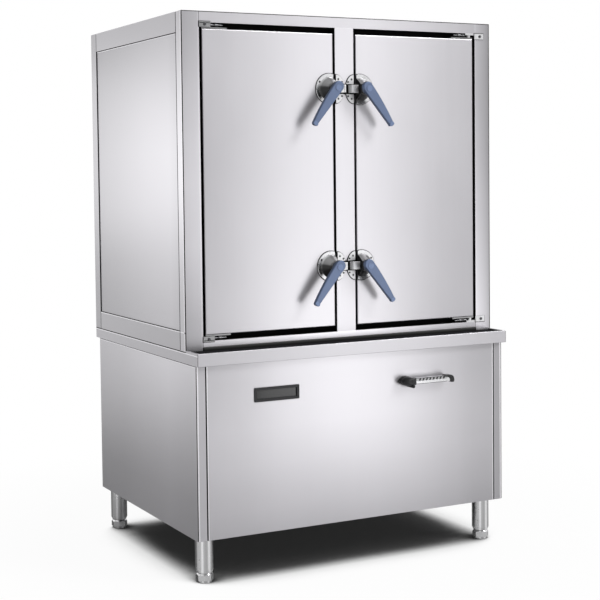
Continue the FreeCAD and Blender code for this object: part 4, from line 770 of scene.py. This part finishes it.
def make_hinge_corners():
    """Dark pads round the brackets' leaves and a black strip for a groove across each lip, all painted shade,
    and pins in the end gaps.
    """
    pads, pins = bmesh.new(), bmesh.new()
    turns = [math.pi * i / 6.0 for i in range(12)]
    for up in (-1, 1):
        low, high = end_heights(*LIP_LOW, up)
        foot, top = (low - 1.6, high + 0.2) if up < 0 else (low - 0.2, high + 1.6)
        groove = (low + high) / 2 + up * GROOVE_SHIFT
        # painted shade: a black pad outlines the lip, and a black strip marks its groove
        block(pads, (LIP_X[0], FACE - 1.0, foot), (LIP_X[1], FACE - 0.05, top))
        block(pads, (GROOVE_X[0], FACE - 3.15, groove - GROOVE_HALF),
              (GROOVE_X[1], FACE - 2.9, groove + GROOVE_HALF))
        low, high = end_heights(*WING_LOW, up)
        foot, top = (low - 2.0, high) if up < 0 else (low, high + 2.0)
        block(pads, (WING_X[0], FACE - 1.0, foot), (WING_X[1], FACE - 0.05, top))
        level = MIDDLE + up * KNUCKLE_RISE
        for side, _ in SIDES:
            rings = []
            for x, radius in KNUCKLE:
                rings.append([(side * x, KNUCKLE_Y + radius * math.cos(a), level + radius * math.sin(a))
                              for a in turns])
            loft(pins, rings)
    piece("bracket_shade_pads", pads, "door_seal", "cabinet")
    piece("hinge_knuckles", pins, "knuckle_steel", "cabinet")


# Gas lever: a smooth black knob with a nose and a small lobe, a ribbed insert and a hooked end cap

KNOB_LEFT, KNOB_MID, KNOB_RIGHT, KNOB_RISE = 162.0, 188.0, 206.0, 17.0
# the knob from the panel outwards, as (y, share of its outline)
KNOB = ((-441.0, 0.86), (-441.6, 0.9), (-446.0, 0.97), (-455.0, 1.0), (-456.0, 0.96), (-457.5, 0.96),
        (-458.5, 1.0), (-466.0, 0.98), (-474.0, 0.9), (-480.0, 0.77), (-484.0, 0.6), (-486.0, 0.40),
        (-485.4, 0.33), (-485.2, 0.15))
LOBE_CENTRE, LOBE_RADIUS = (201.0, 593.5), 6.0
LOBE = ((-441.5, 0.9), (-443.0, 1.0), (-476.0, 1.0), (-479.5, 0.9), (-481.5, 0.65), (-482.0, 0.3))
COLLAR_Y = -472.0
COLLAR_OUTLINE = ((-482.6, 600.5), (-481.0, 598.6), (-463.0, 598.6), (-461.4, 600.5), (-461.4, 621.5),
                  (-463.0, 623.4), (-481.0, 623.4), (-482.6, 621.5))
COLLAR = ((194.0, 1.0), (207.5, 1.0), (209.5, 0.93), (210.0, 0.84))
ARM_X, INLAY_Y, INLAY_Z = (209.0, 338.0), (-480.35, -478.0), (611.2, 620.8)
RIB_COUNT, RIB_START, RIB_PITCH, RIB_WIDE, RIB_LEAN = 8, 220.0, 14.0, 7.0, 3.5
RIB_Y, RIB_Z = (-481.2, -479.5), (611.9, 620.2)
# raised edges along the arm, as (front, lowest, highest)
ARM_EDGES = ((-480.8, 619.6, 621.2), (-480.3, 600.9, 602.3))
HOOK = ((327.0, 618.5), (328.0, 621.5), (333.0, 624.0), (350.0, 624.0), (358.0, 621.5), (363.5, 615.5),
        (366.0, 607.0), (365.5, 600.0), (362.5, 597.5), (353.0, 597.5), (351.0, 599.5), (350.5, 608.0),
        (347.0, 613.0), (341.0, 615.5))
HOOK_Y = (-483.5, -460.5)


def egg(share):
    """Egg outline with its slim end to the left."""
    points = []
    for i in range(28):
        a = 2.0 * math.pi * i / 28
        right = math.cos(a) > 0.0
        reach = KNOB_RIGHT - KNOB_MID if right else KNOB_MID - KNOB_LEFT
        rise = KNOB_RISE if right else KNOB_RISE * (1.0 - 0.16 * math.cos(a) ** 2)
        points.append((KNOB_MID + share * reach * math.cos(a), VALVE_Z + share * rise * math.sin(a)))
    return points


def make_gas_knob():
    bm = bmesh.new()
    loft(bm, [along_y(egg(share), y) for y, share in KNOB])
    lobe = arc(*LOBE_CENTRE, LOBE_RADIUS, 0.0, 345.0, 23)
    loft(bm, [along_y(scaled(lobe, LOBE_CENTRE, share), y) for y, share in LOBE])
    loft(bm, [along_x(scaled(COLLAR_OUTLINE, (COLLAR_Y, VALVE_Z), share), x) for x, share in COLLAR])
    knob = piece("gas_knob", bm, "black_plastic", "gas_lever", angle=50.0)
    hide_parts("gas_lever_hub")


def make_gas_arm():
    x0, x1 = ARM_X
    front, back = INLAY_Y
    bm = bmesh.new()
    block(bm, (x0, front, INLAY_Z[0]), (x1, back, INLAY_Z[1]))
    piece("gas_arm_inlay", bm, "rib_grey", "gas_lever", fold=0.3)
    bm = bmesh.new()
    low, high = RIB_Z
    for i in range(RIB_COUNT):
        x = RIB_START + RIB_PITCH * i
        slanted = ((x, low), (x + RIB_WIDE, low), (x + RIB_WIDE + RIB_LEAN, high), (x + RIB_LEAN, high))
        loft(bm, [along_y(slanted, y) for y in RIB_Y])
    for front, low, high in ARM_EDGES:
        block(bm, (x0, front, low), (x1, back, high))
    piece("gas_arm_ribs", bm, "black_plastic", "gas_lever", fold=0.4)
    bm = bmesh.new()
    loft(bm, [along_y(HOOK, y) for y in HOOK_Y])
    cap = piece("gas_arm_cap", bm, "black_plastic", "gas_lever", fold=1.8, segments=3)
    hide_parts("gas_lever_end_cap")


# Moulded toes at the lever tips, as (across, along) from the lever's end

LEVER_TILT, LEVER_LENGTH = math.radians(36.5), 141.0
TOE = ((-7.0, 0.0), (-9.6, 4.0), (-10.4, 9.0), (-8.0, 12.5), (0.0, 14.6), (7.0, 13.2), (9.2, 9.5), (8.6, 3.0),
       (7.4, 0.0))
TOE_Y = (-421.5, -436.3)


def make_lever_toes():
    sin, cos = math.sin(LEVER_TILT), math.cos(LEVER_TILT)
    for side, hand in SIDES:
        for level, row in zip(LATCH_LEVELS, ("upper", "lower")):
            outline = []
            for across, along in TOE:
                x = sin * (LEVER_LENGTH + along) + cos * across
                z = -cos * (LEVER_LENGTH + along) + sin * across
                outline.append((side * (LATCH_X + x), level + z))
            bm = bmesh.new()
            loft(bm, [along_y(outline, y) for y in TOE_Y])
            piece("%s_%s_lever_toe" % (hand, row), bm, "lever_enamel", "%s_%s_latch" % (hand, row),
                  fold=3.0, segments=3)


# Floor, world, lamps and camera, in metres

FLOOR_HALF = 40.0
PALE, PALER = (0.79, 0.79, 0.79, 1.0), (0.81, 0.81, 0.81, 1.0)
# painted contact shadow, the floor's glow dimmed by ambient occlusion: how far it reaches, how open the sky
# is at its dark and clear ends, and how dark it gets
SHADOW_REACH, SHADOW_DEEP, SHADOW_CLEAR, SHADOW_TONE = 0.45, 0.34, 0.68, 0.014
# the camera sees the floor's glow nearly alone beside the object, and quite alone from here outwards
NEAR, FAR, NEAR_GLOW = 0.9, 1.8, 0.95
# reflections see the floor's glow only far from the object
MIRROR_NEAR, MIRROR_FAR = 1.8, 6.0


def make_floor():
    """A matt pale floor that glows white to the camera, its glow dimmed into a painted contact shadow round
    the object.
    """
    mesh = bpy.data.meshes.new("floor")
    bm = bmesh.new()
    bmesh.ops.create_grid(bm, x_segments=8, y_segments=8, size=FLOOR_HALF)
    bm.to_mesh(mesh)
    bm.free()
    floor = bpy.data.objects.new("floor", mesh)
    bpy.context.collection.objects.link(floor)
    p = Paint("pale_floor", 0.0, Roughness=0.9, Specular_IOR_Level=0.0)
    p.set("Base Color", p.mix(p.noise((0.7, 0.7, 0.7)), PALE, PALER))
    camera_ray = p.node("ShaderNodeLightPath").outputs["Is Camera Ray"]
    reach = p.node("ShaderNodeVectorMath", {"operation": "LENGTH"}, i0=p.coords).outputs["Value"]
    # painted shadow: ambient occlusion dims the glow near the object
    sky = p.node("ShaderNodeAmbientOcclusion", {"samples": 48}, Distance=SHADOW_REACH).outputs["AO"]
    glow = p.node("ShaderNodeEmission", Color=(1.0, 1.0, 1.0, 1.0),
                  Strength=p.span(sky, SHADOW_DEEP, SHADOW_CLEAR, SHADOW_TONE, 1.0, "SMOOTHSTEP"))
    seen = p.math("MULTIPLY", camera_ray, p.span(reach, NEAR, FAR, NEAR_GLOW, 1.0))
    reflected = p.math("SUBTRACT", p.looked_at(), camera_ray)
    mirrored = p.math("MULTIPLY", reflected, p.span(reach, MIRROR_NEAR, MIRROR_FAR, kind="SMOOTHSTEP"))
    both = p.node("ShaderNodeMixShader", Fac=p.math("ADD", seen, mirrored), i1=p.shader.outputs[0],
                  i2=glow.outputs[0])
    p.tree.links.new(both.outputs[0], p.tree.nodes["Material Output"].inputs["Surface"])
    mesh.materials.append(p.mat)


# strength of the room on the object, and what reflections see of its front and of its dark left side
ROOM_LIGHT, ROOM_FRONT, ROOM_LEFT = 0.55, 0.5, 0.1
DARK_SIDE = (-0.88, -0.47, 0.0)


def make_world():
    """A white backdrop; reflections see it behind the object, a dim room before it and a dark left side."""
    world = bpy.data.worlds.new("studio")
    bpy.context.scene.world = world
    world.use_nodes = True
    t = Tree(world.node_tree)
    world.node_tree.nodes.clear()
    way = t.node("ShaderNodeTexCoord").outputs["Generated"]
    front = t.span(t.dot(way, TO_REAR), -0.7, 0.3, ROOM_FRONT, 1.0, "SMOOTHSTEP")
    left = t.span(t.dot(way, DARK_SIDE), 0.45, 0.92, kind="SMOOTHSTEP")
    level = t.math("ABSOLUTE", t.dot(way, UPWARDS))
    left = t.math("MULTIPLY", left, t.span(level, 0.12, 0.3, 1.0, 0.0, "SMOOTHSTEP"))
    camera_ray = t.node("ShaderNodeLightPath").outputs["Is Camera Ray"]
    seen = t.math("MAXIMUM", t.blend(left, front, ROOM_LEFT), camera_ray)
    strength = t.blend(t.looked_at(), ROOM_LIGHT, seen)
    back = t.node("ShaderNodeBackground", Color=(1.0, 1.0, 1.0, 1.0), Strength=strength)
    t.feed(t.node("ShaderNodeOutputWorld").inputs["Surface"], back.outputs[0])


def make_lamp(name, kind, place, aim, power, **settings):
    data = bpy.data.lights.new(name, kind)
    data.energy = power
    for key, value in settings.items():
        setattr(data, key, value)
    lamp = bpy.data.objects.new(name, data)
    bpy.context.collection.objects.link(lamp)
    lamp.location = place
    lamp.rotation_euler = (Vector(aim) - Vector(place)).to_track_quat("-Z", "Y").to_euler()
    lamp.visible_camera = False


def make_lamps():
    """A soft key from the front right, two boxes whose reflections the sheets show, and one for the left
    side.
    """
    make_lamp("key_sun", "SUN", (2.4, -2.6, 2.6), (0.0, 0.0, 0.0), 1.9, angle=math.radians(22))
    make_lamp("front_box", "AREA", (1.45, -3.0, 1.33), (-0.06, -0.39, 1.3), 6.9,
              shape="RECTANGLE", size=0.7, size_y=2.4)
    make_lamp("low_box", "AREA", (0.97, -2.3, 0.27), (0.02, -0.44, 0.44), 2.4,
              shape="RECTANGLE", size=0.75, size_y=0.8)
    make_lamp("side_box", "AREA", (-1.74, 2.2, 1.45), (-0.6, -0.35, 1.35), 3.1,
              shape="RECTANGLE", size=1.3, size_y=0.9)


CAMERA_PLACE = (-2.3278, -4.3939, 1.3344)
CAMERA_YAW, CAMERA_PITCH, CAMERA_ROLL = (math.radians(a) for a in (26.85, -2.86, -0.68))


def make_camera():
    """The photograph's view: yaw from +Y towards +X, pitch, and roll about the line of sight."""
    yaw, pitch, roll = CAMERA_YAW, CAMERA_PITCH, CAMERA_ROLL
    forward = Vector((math.sin(yaw) * math.cos(pitch), math.cos(yaw) * math.cos(pitch), math.sin(pitch)))
    right = Vector((math.cos(yaw), -math.sin(yaw), 0.0))
    down = forward.cross(right)
    c, s = math.cos(roll), math.sin(roll)
    across, below = c * right - s * down, s * right + c * down
    data = bpy.data.cameras.new("camera")
    data.lens = 81.59
    data.sensor_width = 36.0
    data.shift_x = 0.05
    data.shift_y = -0.10
    data.clip_end = 200.0
    camera = bpy.data.objects.new("camera", data)
    bpy.context.collection.objects.link(camera)
    turn = Matrix((across, -below, -forward)).transposed()
    camera.matrix_world = Matrix.Translation(CAMERA_PLACE) @ turn.to_4x4()
    bpy.context.scene.camera = camera


paint_nodes()
round_nodes()
make_rebate_seals()
make_mat_and_shade()
make_bead_and_shade()
make_sheet_lines()
make_latch_shade_pads()
make_strike_cheeks()
make_hinge_corners()
make_screw_slots()
make_gas_knob()
make_gas_arm()
make_lever_toes()
make_floor()
make_world()
make_lamps()
make_camera()

view = bpy.context.scene.view_settings
view.view_transform = "Standard"
